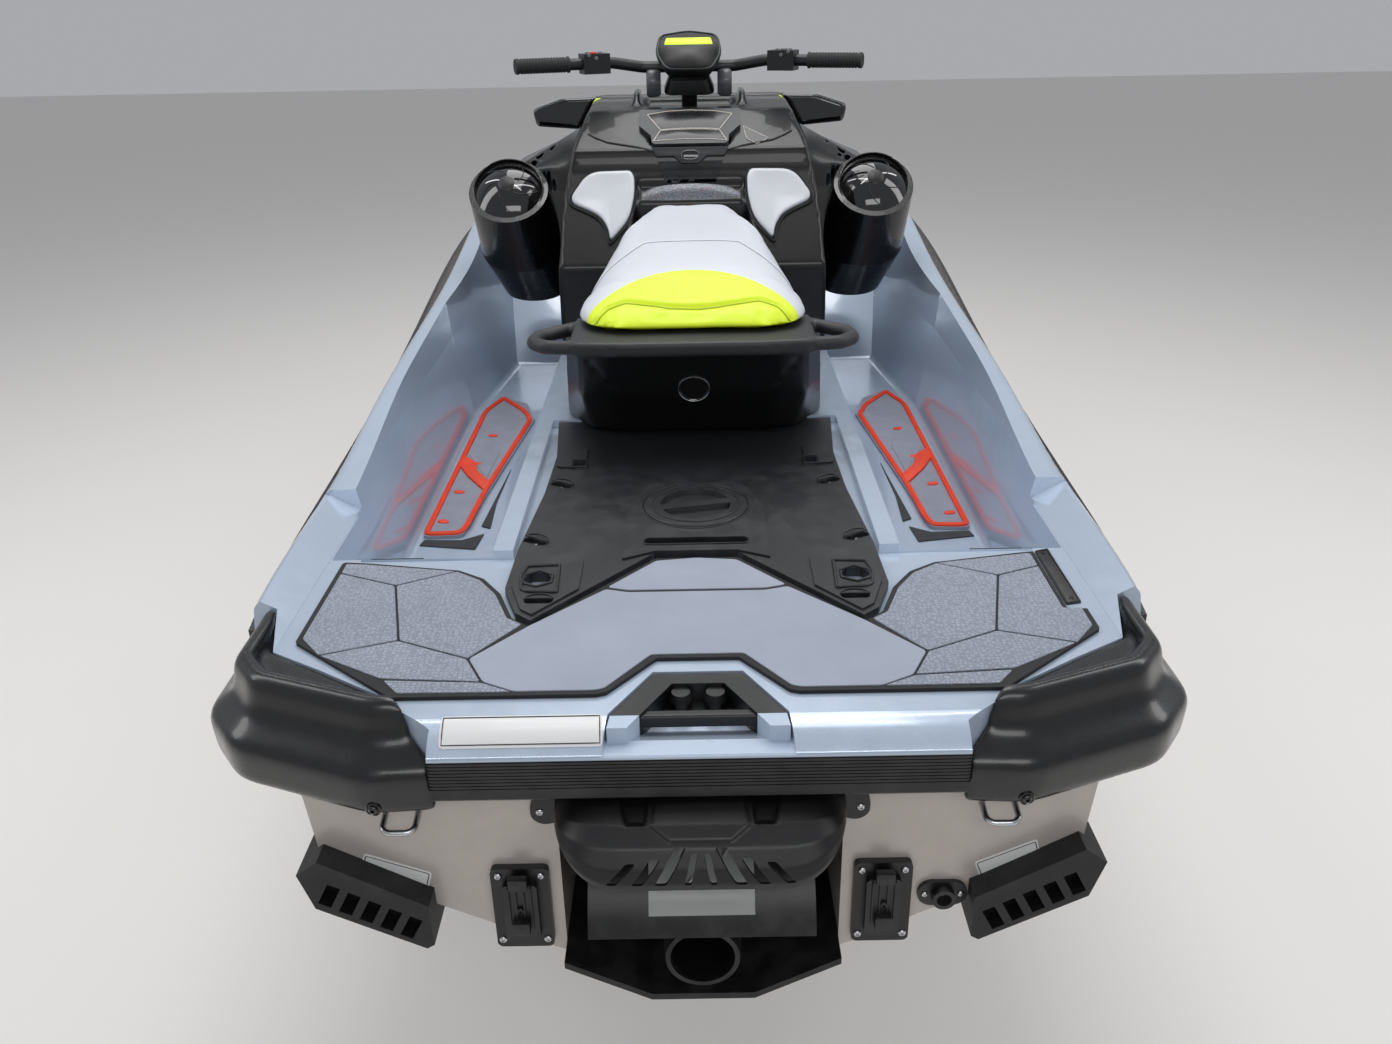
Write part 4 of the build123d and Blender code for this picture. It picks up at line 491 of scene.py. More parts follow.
def softened(node, name, voxel, passes, material, body="craft", kept=1.0):
    """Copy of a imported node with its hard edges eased, standing for the node; kept is the share of faces left."""
    made = placed(bpy.data.objects.new(name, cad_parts[node].data.copy()))
    even = made.modifiers.new("even", "REMESH")
    even.mode, even.voxel_size = "VOXEL", voxel
    ease = made.modifiers.new("ease", "SMOOTH")
    ease.factor, ease.iterations = 0.5, passes
    if kept < 1:
        made.modifiers.new("fewer", "DECIMATE").ratio = kept
    mesh = applied(made)
    mesh.materials.clear()
    mesh.materials.append(material)
    for polygon in mesh.polygons:
        polygon.use_smooth = True
    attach(made, body)
    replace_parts(made, node)


dress(bumper_black, "rub_rail", "bow_bumper")
dress(bright_steel, "bow_eye")
bumper_screws = bmesh.new()
for side in (-1, 1):
    place, normal = from_astern("stern_bumpers", side * BUMPER_SCREW_X, BUMPER_SCREW_Z)
    turned(bumper_screws, [(9.5, -2), (9.5, 1.2), (8, 2.2), (6.8, 1.0), (0.5, 0.8)], place, normal, 24)
    screw(bumper_screws, place + normal * 0.0008, normal, 6)
piece("bumper_screws", bumper_screws, gloss_black)
softened("stern_bumpers", "stern_bumper_mouldings", 0.0045, 22, bumper_black)

# Stern strip
# Black moulded strip between the bumpers with fine lines along its length, clipped over the deck's edge.
# Its upper face closes the tow hook's bowl and has the deck's colour.
RIB_COUNT, RIB_FOOT_Z, RIB_PITCH = 9, 389, 4.6
STRIP_TOP_Z = 425.5
strip_black = finish_of("strip_black", (16, 16, 17), 0.3, mottle=0.12, grain=0.2, grain_scale=1500, wear=0.3)


def second_colour(material, colour, reach_of, steep=900.0):
    """Lays a second colour where reach_of, a sum worked out in metres from the place, is above nought."""
    tree = material.node_tree
    shader = tree.nodes["Principled BSDF"]
    earlier = shader.inputs["Base Color"].links[0].from_socket
    spot = added(tree, "TexCoord", {}).outputs["Object"]

    def maths(how, first, second=0.0):
        return added(tree, "Math", {0: first, 1: second}, operation=how).outputs["Value"]

    reach = reach_of(maths, *added(tree, "SeparateXYZ", {"Vector": spot}).outputs)
    mask = maths("MAXIMUM", maths("MINIMUM", maths("MULTIPLY", reach, steep), 1.0), 0.0)
    shade = added(tree, "ValToRGB", {"Fac": noise(tree, spot, 5, 2)})
    for stop, share in ((0, 0.94), (1, 1.05)):
        shade.color_ramp.elements[stop].color = tinted(linear(*colour), share)
    wired(shader, {"Base Color": blended(tree, earlier, shade.outputs["Color"], mask)})


second_colour(strip_black, DECK_BLUE, lambda maths, x, y, z: maths("SUBTRACT", z, at(0, 0, STRIP_TOP_Z).z))
dress(strip_black, "stern_strip")
ribs = bmesh.new()
for k in range(RIB_COUNT):
    place, _ = from_astern("stern_strip", 0, RIB_FOOT_Z + k * RIB_PITCH)
    slab(ribs, block(309, 1.1), 1.4, laid(place, UPRIGHT), 0.5, -0.6)
piece("stern_strip_ribs", ribs, satin_black)

# Blank plates
# Pale printed plates with dark borders on the stern slope, the transom and the reverse gate, all left blank.
# They are thin plastic, bonded flat or bent to what carries them.
GATE_PLATE_HALF, GATE_PLATE_FOOT_Z, GATE_PLATE_RISE = 64, 214, 58
PLATE_LIFT, PLATE_THICKNESS = 0.0009, 0.0012
plate_lines = ([(-424, 244), (-342, 211), (-354, 168), (-438, 202)], [(346, 213), (422, 249), (434, 206), (362, 170)])
blank_white = finish_of("blank_white", (206, 207, 206), 0.35, mottle=0.03, coat=0.2, rough_spread=0.05)


def band(mesh_work, outline, width, height, lay, edge=0.6, low=0.0):
    """Adds a raised closed border of a width just inside an outline."""
    ways = ((0, low), (0, height - edge), (edge, height), (width - edge, height), (width, height - edge), (width, low))
    skinned(mesh_work, [[lay(u, v, w) for u, v in inset(outline, shrink)] for shrink, w in ways],
            capped=False, endless=True)


def draped(mesh_work, outline, node, thickness, cell=14):
    """Adds a thin pad that follows a node's surface below an outline, its underside 1 mm inside."""
    work = bmesh.new()
    work.faces.new([work.verts.new(at(x, y, 0)) for x, y in outline])
    for axis, way in enumerate(((1, 0, 0), (0, 1, 0))):
        reach = [p[axis] for p in outline]
        for cut_at in range(int(min(reach)) + cell // 2, int(max(reach)), cell):
            bmesh.ops.bisect_plane(work, geom=work.verts[:] + work.edges[:] + work.faces[:],
                                   plane_co=at(cut_at * way[0], cut_at * way[1], 0), plane_no=way)
    spots = {}
    for vert in work.verts:
        place, normal = touch(node, Vector((vert.co.x, vert.co.y, at(0, 0, 1300).z)), (0, 0, -1))
        spots[vert] = (mesh_work.verts.new(place + normal * (thickness / 1000)),
                       mesh_work.verts.new(place - normal * 0.001))
    for face in work.faces:
        mesh_work.faces.new([spots[v][0] for v in face.verts])
        mesh_work.faces.new([spots[v][1] for v in reversed(face.verts)])
    for edge in work.edges:
        if len(edge.link_faces) == 1:
            a, b = edge.verts
            mesh_work.faces.new((spots[a][0], spots[b][0], spots[b][1], spots[a][1]))
    work.free()


def tube(mesh_work, path, radius, smooth=False):
    """Adds a round cord of a radius in mm along a path of places in metres."""
    curve = bpy.data.curves.new("path", "CURVE")
    curve.dimensions = "3D"
    spline = curve.splines.new("NURBS" if smooth else "POLY")
    spline.points.add(len(path) - 1)
    for point, place in zip(spline.points, path):
        point.co = (*place, 1)
    if smooth:
        spline.order_u = 3
        spline.use_endpoint_u = True
    curve.bevel_depth = radius / 1000
    curve.bevel_resolution = 3
    curve.use_fill_caps = True
    holder = bpy.data.objects.new("path", curve)
    made = bpy.data.meshes.new_from_object(holder)
    mesh_work.from_mesh(made)
    bpy.data.objects.remove(holder)
    bpy.data.meshes.remove(made)
    bpy.data.curves.remove(curve)


def from_above(node, x, y, start_z=1300):
    """Place and normal on a node's top side."""
    return touch(node, at(x, y, start_z), (0, 0, -1))


def stepped(points, step):
    """Points every step or so along straight runs."""
    path = []
    for (ax, ay), (bx, by) in zip(points, points[1:]):
        count = max(1, round(hypot(bx - ax, by - ay) / step))
        path += [(ax + (bx - ax) * k / count, ay + (by - ay) * k / count) for k in range(count)]
    return path + [points[-1]]


def over(node, points, lift, step=12):
    """Path lying on a node's top side above straight runs between points in mm."""
    return [place + normal * (lift / 1000) for place, normal in (from_above(node, *p) for p in stepped(points, step))]


aft_lay = laid(at(0, 60, 0), UPRIGHT)
transom_plates, transom_edges = bmesh.new(), bmesh.new()
for outline in plate_lines:
    slab(transom_plates, rounded(outline, 4, 3), 0.9, aft_lay, 0.2, -0.3)
    band(transom_edges, rounded(inset(outline, 2.4), 3, 3), 1.2, 1.2, aft_lay, 0.2, 0.5)
piece("transom_plates", transom_plates, blank_white)
piece("transom_plate_edges", transom_edges, satin_black)
gate_plate = bmesh.new()
spots = [[from_astern("reverse_gate", -GATE_PLATE_HALF + 2 * GATE_PLATE_HALF * k / 12,
                      GATE_PLATE_FOOT_Z + GATE_PLATE_RISE * row / 6) for k in range(13)] for row in range(7)]
skinned(gate_plate, [[place + normal * PLATE_LIFT for place, normal in row] for row in spots], closed=False,
        capped=False)
bmesh.ops.solidify(gate_plate, geom=gate_plate.faces[:], thickness=PLATE_THICKNESS)
piece("gate_plate", gate_plate, blank_white, body="gate")
stern_plate, stern_plate_edge = bmesh.new(), bmesh.new()
draped(stern_plate, rounded([(-300, 49), (-112, 49), (-110, 9), (-298, 9)], 5, 3), "deck", 0.8, cell=12)
piece("stern_plate", stern_plate, blank_white, sharp=60)
tube(stern_plate_edge, over("deck", [(-297, 46), (-115, 46), (-113, 12), (-295, 12), (-297, 46)], 0.8, 10), 0.7)
piece("stern_plate_edge", stern_plate_edge, satin_black)

# Platform mat
# Grey foam tiles bonded on a black rubber sheet that shows as seams and as a border.
# The middle panel is smooth; the side tiles are cut with a fine cell pattern, with painted shade in its grooves.
MAT_TOP_Z, SEAM_HALF = 460.3, 1.6
SIDES = ((-1, "port"), (1, "starboard"))
mat_rubber = finish_of("mat_rubber", (20, 21, 23), 0.7, grain=0.4)
foam_plain = finish_of("foam_plain", (150, 156, 170), 0.85, mottle=0.05, mottle_scale=14, grain=0.5)
foam_cut = finish_of("foam_cut", (148, 154, 167), 0.85, mottle=0.06, mottle_scale=14, grain=0.5,
                     cells_and_groove_shade=0.45)
J1, J2, J3, J4 = (427, 364), (388, 213.4), (290, 166), (263.5, 112.3)
side_tiles = {
    "corner": [J1, J2, (483.5, 179.7), (517, 222), (517, 270), (492, 270), (492, 391)],
    "front": [J1, (492, 391), (492, 432), (480, 431), (347, 405)],
    "middle": [J1, (347, 405), (308, 377), (279, 333), (254, 268), (231, 250), J3, J2],
    "rear": [J2, J3, J4, (390.5, 122.9), (483.5, 179.7)],
    "edge": [J4, (222.8, 90), (363, 90), (388, 121.2)],
}
# the port side has no notch for a plate
port_tiles = {
    "corner": [J1, J2, (483.5, 179.7), (517, 222), (517, 405)],
    "front": [J1, (517, 405), (517, 436), (480, 431), (347, 405)],
}
panel_line = [(222, 90), J4, J3, (222, 248), (128, 344), (95, 334), (-95, 334), (-128, 344), (-222, 248),
              (-J3[0], J3[1]), (-J4[0], J4[1]), (-222, 90), (-124, 90), (-112, 94), (-58, 168), (58, 168), (112, 94),
              (124, 90)]
apex_line = [(128, 347.5), (60, 428), (0, 436), (-60, 428), (-128, 347.5), (-96, 337.5), (96, 337.5)]
mat_lay = laid(at(0, 0, MAT_TOP_Z), LEVEL)


def mat_tile(name, outline, foam, radius=5, steps=3):
    """Lays a foam tile within its seams."""
    tile = bmesh.new()
    slab(tile, rounded(inset(outline, SEAM_HALF), radius, steps), 1.6, mat_lay, 0.7, -0.2)
    piece(name, tile, foam)


dress(mat_rubber, "platform_mat")
for side, tag in SIDES:
    for label, outline in side_tiles.items():
        outline = port_tiles.get(label, outline) if side < 0 else outline
        mat_tile("mat_tile_%s_%s" % (label, tag), on_side(side, outline), foam_cut, 3, 2)
mat_tile("mat_middle", panel_line, foam_plain)
mat_tile("mat_apex", apex_line, foam_plain)

# Notch plate
# Blank black plate with a raised border, moulded in satin plastic.
# It lies in the starboard notch of the mat, held by two small screws.
NOTCH_X = 512
notch_line = [(501, 286), (523, 291), (523, 452), (501, 444)]
notch = bmesh.new()
place, _ = from_above("deck", NOTCH_X, 360, 600)
lay = laid(Vector((0, at(0, 0, 0).y, place.z)), LEVEL)
slab(notch, rounded(notch_line, 2, 2), 3.0, lay, 0.5, -0.5)
band(notch, rounded(inset(notch_line, 1.0), 2, 2), 2.0, 4.0, lay, 0.4, 2.0)
for along in (300, 438):
    screw(notch, lay(NOTCH_X, along, 2.8), UP, 3.2)
piece("notch_plate", notch, satin_black)

# Tow hook and deck cover
# Black moulded guard bar over a bowl in the deck's colour, and a grained black cover held by screws in half-moon
# pockets. The cover has hexagon sockets, strap slots and a round cap that turns off.
COVER_TOP_Z, COVER_START_Z, CAP_Y = 469.7, 600, 604
HOOK_BAR_Y = 49
HEX_X, HEX_Y, HEX_R = 224, 361, 25.5
pockets = ((216, 298, 0), (244, 487, 30), (226, 701, 30))
socket_line = [(246, 330), (251, 366), (246, 401), (195, 405), (191, 318), (235, 321)]
hexagon = [(HEX_X + HEX_R * cos(a), HEX_Y + HEX_R * sin(a)) for a in
           (radians(30 + 60 * k) for k in range(6))]
half_moon = [(21 * cos(a), 4 + 15 * sin(a)) for a in (radians(12 * k) for k in range(16))]
circle = [(cos(a), sin(a)) for a in (tau * k / 64 for k in range(64))]
cover_black = finish_of("cover_black", (28, 30, 33), 0.4, mottle_scale=9, grain=0.45, grain_scale=800,
                        wear=0.3)
hook_black = finish_of("hook_black", (14, 15, 16), 0.34, grain=0.25, grain_scale=1100, wear=0.3)
second_colour(hook_black, DECK_BLUE, lambda maths, x, y, z: maths("SUBTRACT", at(0, HOOK_BAR_Y, 0).y, y))
dress(hook_black, "tow_hook")
dress(cover_black, "deck_cover", "deck_cap")
cover_screws, trim = bmesh.new(), bmesh.new()
for side in (-1, 1):
    for x, y, _ in pockets:
        screw(cover_screws, from_above("deck_cover", side * x, y, COVER_START_Z)[0], UP, 5)
piece("cover_screws", cover_screws, bright_steel)
lay = laid(at(0, 0, COVER_TOP_Z), LEVEL)
band(trim, rounded(block(80, 12, 0, 474), 11, 6), 2.2, 2.0, lay, 0.7, -0.4)
for side in (-1, 1):
    band(trim, rounded(on_side(side, socket_line), 5, 3), 4.6, 3.4, lay, 1.4, -0.4)
    sided = hexagon if side > 0 else [(x - 2 * HEX_X, y) for x, y in hexagon]
    band(trim, rounded(sided, 3, 2), 3.4, 2.6, lay, 1.0, -0.4)
    band(trim, rounded(block(14, 18, side * 203, 789), 3, 3), 2.4, 2.0, lay, 0.7, -0.4)
    for x, y, lean in pockets:
        c, s = cos(radians(lean * side)), sin(radians(lean * side))
        band(trim, [(side * x + u * c - v * s, y + u * s + v * c) for u, v in half_moon], 2.4, 2.2, lay, 0.8, -0.4)
cap_top = from_above("deck_cap", 0, CAP_Y + 76, COVER_START_Z)[0].z
for radius, width, height, z, edge in ((71, 2.4, 1.6, cap_top, 0.6), (88, 2.6, 1.2, at(0, 0, COVER_TOP_Z).z, 0.5)):
    cap_lay = laid(Vector((0, at(0, CAP_Y, 0).y, z)), LEVEL)
    band(trim, [(radius * x, radius * y) for x, y in circle], width, height, cap_lay, edge, -0.4)
piece("cover_trim", trim, cover_black)

# Footwells
# Grey foam floor mats in an orange-red rubber frame with a cross bar and studs.
# Dark grip pads are bonded behind and beside them, and a black line edges the ramp.
WELL_TOP_Z = 316.3
well_foam = finish_of("well_foam", (140, 143, 156), 0.8, mottle=0.07, mottle_scale=30, grain=0.5)
frame_orange = finish_of("frame_orange", (232, 66, 30), 0.5, mottle=0.08, mottle_scale=20, grain=0.3)
pad_dark = finish_of("pad_dark", (46, 48, 50), 0.75, mottle=0.15, mottle_scale=40, grain=0.6, grain_scale=700)
frame_line = [(505, 824), (432, 828), (424, 862), (416, 1030), (377, 1435), (400, 1500), (470, 1604), (503, 1500)]
bar_line = [(500, 1215), (500, 1165), (470, 1100), (418, 1015), (414, 1062), (452, 1120), (468, 1178)]
field_line = [(490, 1390), (436, 1278), (424, 1232), (430, 1078), (448, 1132), (478, 1200), (489, 1225)]
pad_lines = ([(504, 795), (500, 816), (430, 813), (394, 838), (400, 776)],
             [(404, 873), (386, 862), (392, 978), (388, 1150)])
dress(well_foam, "well_mats")
lay = laid(at(0, 0, WELL_TOP_Z), LEVEL)
for side, tag in SIDES:
    border, studs, field = bmesh.new(), bmesh.new(), bmesh.new()
    outline = on_side(side, frame_line)
    band(border, rounded(outline, 22, 5), 11, 4.5, lay, 1.6, -0.3)
    band(border, rounded(inset(outline, 3.2), 20, 5), 4.2, 6, lay, 1.4, 3.5)
    slab(border, rounded(on_side(side, bar_line), 9, 4), 5, lay, 1.6, -0.3)
    piece("well_frame_" + tag, border, frame_orange)
    for x, y in ((455, 1336), (464, 1170), (473, 1023), (478, 885)):
        oval = [(side * x + 11 * a - side * 2.2 * b, y + side * 3.4 * a + 7 * b) for a, b in
                ((cos(tau * k / 24), sin(tau * k / 24)) for k in range(24))]
        slab(studs, oval, 2.2, lay, 0.9, -0.3)
    piece("well_studs_" + tag, studs, frame_orange)
    slab(field, rounded(on_side(side, field_line), 6, 3), 1.6, lay, 0.6, -0.3)
    piece("well_field_" + tag, field, well_foam)
grip_pads, ramp_lines = bmesh.new(), bmesh.new()
for side in (-1, 1):
    for outline in pad_lines:
        draped(grip_pads, on_side(side, outline), "deck", 2.4)
    tube(ramp_lines, over("deck", on_side(side, [(506, 520), (460, 502), (414, 477)]), 0.2), 1.5)
piece("well_grip_pads", grip_pads, pad_dark, sharp=50)
piece("ramp_lines", ramp_lines, mat_rubber)

# Pedestal
# Black moulded pedestal behind the riders, bolted to the deck, with slanted grooves at its sides.
# A blank round plate in a bright ring is pressed in at the back.
base_black = finish_of("base_black", (9, 10, 11), 0.3, mottle=0.12, grain=0.2, grain_scale=1300, coat=0.1, wear=0.3)
softened("seat_base", "pedestal_moulding", 0.0055, 9, base_black, kept=0.5)
badge, badge_ring = bmesh.new(), bmesh.new()
place, normal = from_astern("seat_base", 0, 570, 400)
turned(badge, [(28, -1.5), (28, 1.6), (27, 2.4), (25, 2.6), (24, 1.5), (0.5, 1.5)], place, normal, 56)
piece("base_badge", badge, gloss_black)
turned(badge_ring, [(28.6, -1), (29.4, 1.4), (28.8, 2.8), (27.4, 3.2), (26.6, 2.2), (26.6, -1)], place, normal, 56)
piece("base_badge_ring", badge_ring, bright_steel)

# Grab handle
# Two loops on a plate below the seat's tail, moulded in black plastic with a soft grain.
# The plate is screwed to the pedestal.
handle_black = finish_of("handle_black", (34, 35, 37), 0.45, grain=0.5, wear=0.4)
softened("grab_handle", "grab_handle_moulding", 0.0034, 9, handle_black, kept=0.6)

# Riders' cushion
# Padded seat in silver coated fabric with a lime tail, stretched over a foam core and stapled below.
# It is swollen by a cloth simulation, then its sewn seams are pressed in and threaded.
SEAT_PLAN = ((842, 120), (862, 190), (930, 216), (1050, 208), (1200, 190), (1380, 168), (1500, 132), (1548, 118))
SEAT_CREST = ((842, 695), (895, 715), (1000, 752), (1180, 768), (1548, 780))
SEAT_TAIL_Y, SEAT_NOSE_Y = 842, 1548
SEAT_FOOT_Z, PLATE_TOP_Z, PLATE_FRONT_Y = 655.3, 681.3, 977
SEAT_SHRINK, SWELL_VOXEL, SWELL_CAP = 6.0, 0.0065, 0.008
LIME = (214, 236, 20)
# the lime tail ends in a curve across the seat, further aft at the sides
LIME_FRONT_Y, LIME_BOW = 1004, 3.1
# seam of the front panel, and the crease under the tail's roll
SEAM = ((-212, 985), (-92, 1182), (92, 1182), (212, 985))
CREASE = ((-176, 872), (-150, 900), (-118, 912), (-80, 902), (-40, 893), (0, 890), (40, 893), (80, 902), (118, 912),
          (150, 900), (176, 872))
stations = [848, 851, 857, 866, 878] + list(range(892, 1530, 14)) + [1534, 1540, 1543]
seat_silver = finish_of("seat_silver", (204, 208, 216), 0.42, mottle=0.03, grain=0.4, grain_scale=1100, coat=0.08,
                        rough_spread=0.06, wear=0.05)
seam_grey = finish_of("seam_grey", (112, 115, 122), 0.6, grain=0.4)
piping_lime = finish_of("piping_lime", (150, 168, 10), 0.5, mottle=0.08, grain=0.3)


def eased(table, y, spread):
    """Value read from a table of (place, value) rows, eased over five readings a spread apart."""
    total = 0
    for k in (-2, -1, 0, 1, 2):
        spot = min(SEAT_NOSE_Y, max(SEAT_TAIL_Y, y + k * spread))
        for (a, low), (b, high) in zip(table, table[1:]):
            if spot <= b:
                total += low + (high - low) * (spot - a) / (b - a)
                break
    return total / 5


def seat_half(y):
    """Half width of the seat."""
    return eased(SEAT_PLAN, y, 7)


def lime_tail(maths, x, y, z):
    """Metres aft of the tail's front edge."""
    reach = maths("MULTIPLY", maths("POWER", maths("ABSOLUTE", x), 2.0), LIME_BOW)
    return maths("SUBTRACT", maths("SUBTRACT", at(0, LIME_FRONT_Y, 0).y, reach), y)


def swell(cushion, voxel, cap):
    """Remeshes a closed form evenly and lets cloth pressure fill it, each point moving by at most the cap."""
    even = cushion.modifiers.new("even", "REMESH")
    even.mode, even.voxel_size = "VOXEL", voxel
    mesh = applied(cushion)
    start = [v.co.copy() for v in mesh.vertices]
    cloth = cushion.modifiers.new("fill", "CLOTH")
    cloth.settings.use_pressure = True
    cloth.settings.uniform_pressure_force = 4.0
    cloth.settings.effector_weights.gravity = 0
    cloth.settings.quality = 4
    for step in range(1, 21):
        bpy.context.scene.frame_set(step)
    full = applied(cushion)
    bpy.context.scene.frame_set(1)
    for vert, was in zip(full.vertices, start):
        move = vert.co - was
        if move.length > cap:
            vert.co = was + move.normalized() * cap


def pressed(cushion, runs, depth, half_width):
    """Presses grooves along runs of points in mm into a cushion's top side."""
    segments = [(Vector(at(*a, 0)).xy, Vector(at(*b, 0)).xy) for a, b in zip(runs, runs[1:])]
    moves = []
    for vert in cushion.data.vertices:
        if vert.normal.z < 0.15:
            continue
        here = vert.co.xy
        nearest = 1.0
        for a, b in segments:
            t = max(0, min(1, (here - a).dot(b - a) / (b - a).length_squared))
            nearest = min(nearest, (here - a - (b - a) * t).length)
        if nearest < 3 * half_width:
            moves.append((vert, vert.normal * depth * exp(-(nearest / half_width) ** 2)))
    for vert, move in moves:
        vert.co -= move


def on_cushion(cushion, points, lift):
    """Path lying on a cushion's top side above straight runs between points in mm."""
    spots = [cushion.ray_cast(at(x, y, 1300), Vector((0, 0, -1))) for x, y in stepped(points, 8)]
    return [place + normal * (lift / 1000) for hit, place, normal, _ in spots if hit]


seat_work = bmesh.new()
rings = []
for y in stations:
    tail = sqrt(min(1, max(0, (y - SEAT_TAIL_Y) / 60)))
    half = (seat_half(y) - SEAT_SHRINK) * (0.90 + 0.10 * tail)
    crest = eased(SEAT_CREST, y, 15) - 1 - 7 * (1 - tail)
    foot = (PLATE_TOP_Z if y < PLATE_FRONT_Y + 4 else SEAT_FOOT_Z) + 5
    boxy = 0.62 - 0.24 * min(1, max(0, (y - 1150) / 300))
    ring = []
    for c, s in ((cos(a), sin(a)) for a in (pi * k / 32 for k in range(33))):
        ring.append(at(half * copysign(abs(c) ** boxy, c), y, foot + (crest - foot) * s ** (boxy + 0.04)))
    rings.append(ring + [at(-half + 2 * half * k / 14, y, foot) for k in range(1, 14)])
skinned(seat_work, rings)
second_colour(seat_silver, LIME, lime_tail)
seat = piece("seat_cushion", seat_work, seat_silver, sharp=80)
swell(seat, SWELL_VOXEL, SWELL_CAP)
foot_z, plate_z = at(0, 0, SEAT_FOOT_Z + 0.5).z, at(0, 0, PLATE_TOP_Z + 0.5).z
plate_y, slot_y, nose_y = (at(0, y, 0).y for y in (PLATE_FRONT_Y + 3, 1440, SEAT_NOSE_Y - 0.5))
for vert in seat.data.vertices:
    vert.co.z = max(vert.co.z, plate_z if vert.co.y < plate_y else foot_z)
    vert.co.y = min(vert.co.y, nose_y)
    if vert.co.y > slot_y:
        room = (seat_half((vert.co.y + 1.45) * 1000) + 1.0) / 1000
        vert.co.x = max(-room, min(room, vert.co.x))
seat.modifiers.new("divide", "SUBSURF").levels = 1
applied(seat)
pressed(seat, SEAM, 0.0016, 0.004)
pressed(seat, CREASE, 0.0055, 0.006)
for polygon in seat.data.polygons:
    polygon.use_smooth = True
seat.data.materials.clear()
seat.data.materials.append(seat_silver)
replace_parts(seat, "seat")
bpy.context.view_layer.update()
thread, piping = bmesh.new(), bmesh.new()
tube(thread, on_cushion(seat, SEAM, 0.1), 0.9)
piece("seat_seam", thread, seam_grey)
tube(piping, on_cushion(seat, CREASE, 0.6), 1.6, smooth=True)
piece("seat_piping", piping, piping_lime)

# Collar
# Short band of dark speckled fabric that closes the gap between the seat's nose and the dash.
# It is folded at both edges and clipped to the console.
COLLAR_ROWS, COLLAR_COLUMNS = 7, 25
collar_fleck = finish_of("collar_fleck", (104, 106, 112), 0.32, metallic=0.5, mottle=0.5, mottle_scale=260, grain=0.4,
                         flake=0.5)
collar = bmesh.new()
rows = []
for share in (k / (COLLAR_ROWS - 1) for k in range(COLLAR_ROWS)):
    row = []
    for u in (-1 + k / 12 for k in range(COLLAR_COLUMNS)):
        bow = abs(u) ** 2.4
        low = at(117 * u, 1548.8 + 1.5 * (1 - bow), 783 - 4 * bow)
        high = at(113 * u, 1575.5, 822 - 16 * bow)
        row.append(low.lerp(high, share) + Vector((0, -0.002, 0.004)) * sin(pi * share))
    rows.append(row)
rows += [[p + Vector((0, 0.003, -0.002)) for p in row] for row in reversed(rows)]
corners = skinned(collar, rows, closed=False, capped=False, endless=True)
for end in (0, -1):
    collar.faces.new([row[end] for row in corners])
piece("seat_collar", collar, collar_fleck, sharp=60)

# Console
# Moulded black console, screwed to the deck: satin on the dash, and darker below its seam around the knees, partly its
# own deeper black and partly painted shade.
# The lid's lower panel is satin too, and the storage bin below the front lid is rough inside.
LOWER_BLACK_AND_SHADE = (7, 7, 8)
SEAM_Z, SEAM_FLAT, SEAM_RISE = 887, 0.09, 0.42
PANEL_FOOT_Z, PANEL_RISE, PANEL_WALL = 824, 44, 0.0025
KNEE_GAP_Y = 1500
seam_line = [(86, 890), (118, 897), (150, 901), (187, 906), (215, 914), (232, 921)]
dash_black = finish_of("dash_black", (24, 25, 26), 0.32, mottle_scale=12, grain=0.3, grain_scale=1100,
                       wear=0.25, coat=0.35, specular=0.3)
satin_dash = finish_of("satin_dash", (34, 36, 37), 0.36, mottle_scale=12, grain=0.3, grain_scale=1100,
                       wear=0.25)


def below_seam(maths, x, y, z):
    """Metres under the dash's seam, which climbs at the sides."""
    out = maths("MAXIMUM", maths("SUBTRACT", maths("ABSOLUTE", x), SEAM_FLAT), 0.0)
    return maths("SUBTRACT", maths("ADD", maths("MULTIPLY", out, SEAM_RISE), at(0, 0, SEAM_Z).z), z)


def console_face(x, z, lift):
    """Place on the console's stern side, lifted off it."""
    place, normal = from_astern("console", x, z, KNEE_GAP_Y)
    return place + normal * (lift / 1000)


# Painted shade: below the seam the console is darkened, partly its own deeper black and partly the shade under the
# dash.
second_colour(dash_black, LOWER_BLACK_AND_SHADE, below_seam, 700.0)
softened("console", "console_moulding", 0.006, 5, dash_black, kept=0.5)
dress(satin_dash, "glovebox_lid")
dress(rough_black, "storage_bin")
dash_seam, lower_panel = bmesh.new(), bmesh.new()
for side in (-1, 1):
    tube(dash_seam, [console_face(x, z, 0.2) for x, z in on_side(side, seam_line)], 2.4)
piece("dash_seam", dash_seam, mat_rubber)
skinned(lower_panel, [[console_face((56 + 17 * row / 6) * (k / 8 - 1), PANEL_FOOT_Z + PANEL_RISE * row / 6, 1.6)
                       for k in range(17)] for row in range(7)], closed=False, capped=False)
bmesh.ops.solidify(lower_panel, geom=lower_panel.faces[:], thickness=PANEL_WALL)
piece("dash_lower_panel", lower_panel, satin_dash)

# Glovebox latch and lip
# The lid's rear edge turns down in a moulded lip with a deeper middle, where an oval push latch sits.
# The latch is polished plastic and snaps into the lip.
lip_line = [(86, 6), (78, -14), (36, -14), (20, -30), (-20, -30), (-36, -14), (-78, -14), (-86, 6)]


def leant(degrees):
    """Direction that climbs from level at an angle, ahead of the stern."""
    return 0, cos(radians(degrees)), sin(radians(degrees))


def bulged(c, power):
    """Sine or cosine fattened to a fuller oval."""
    return copysign(abs(c) ** power, c)


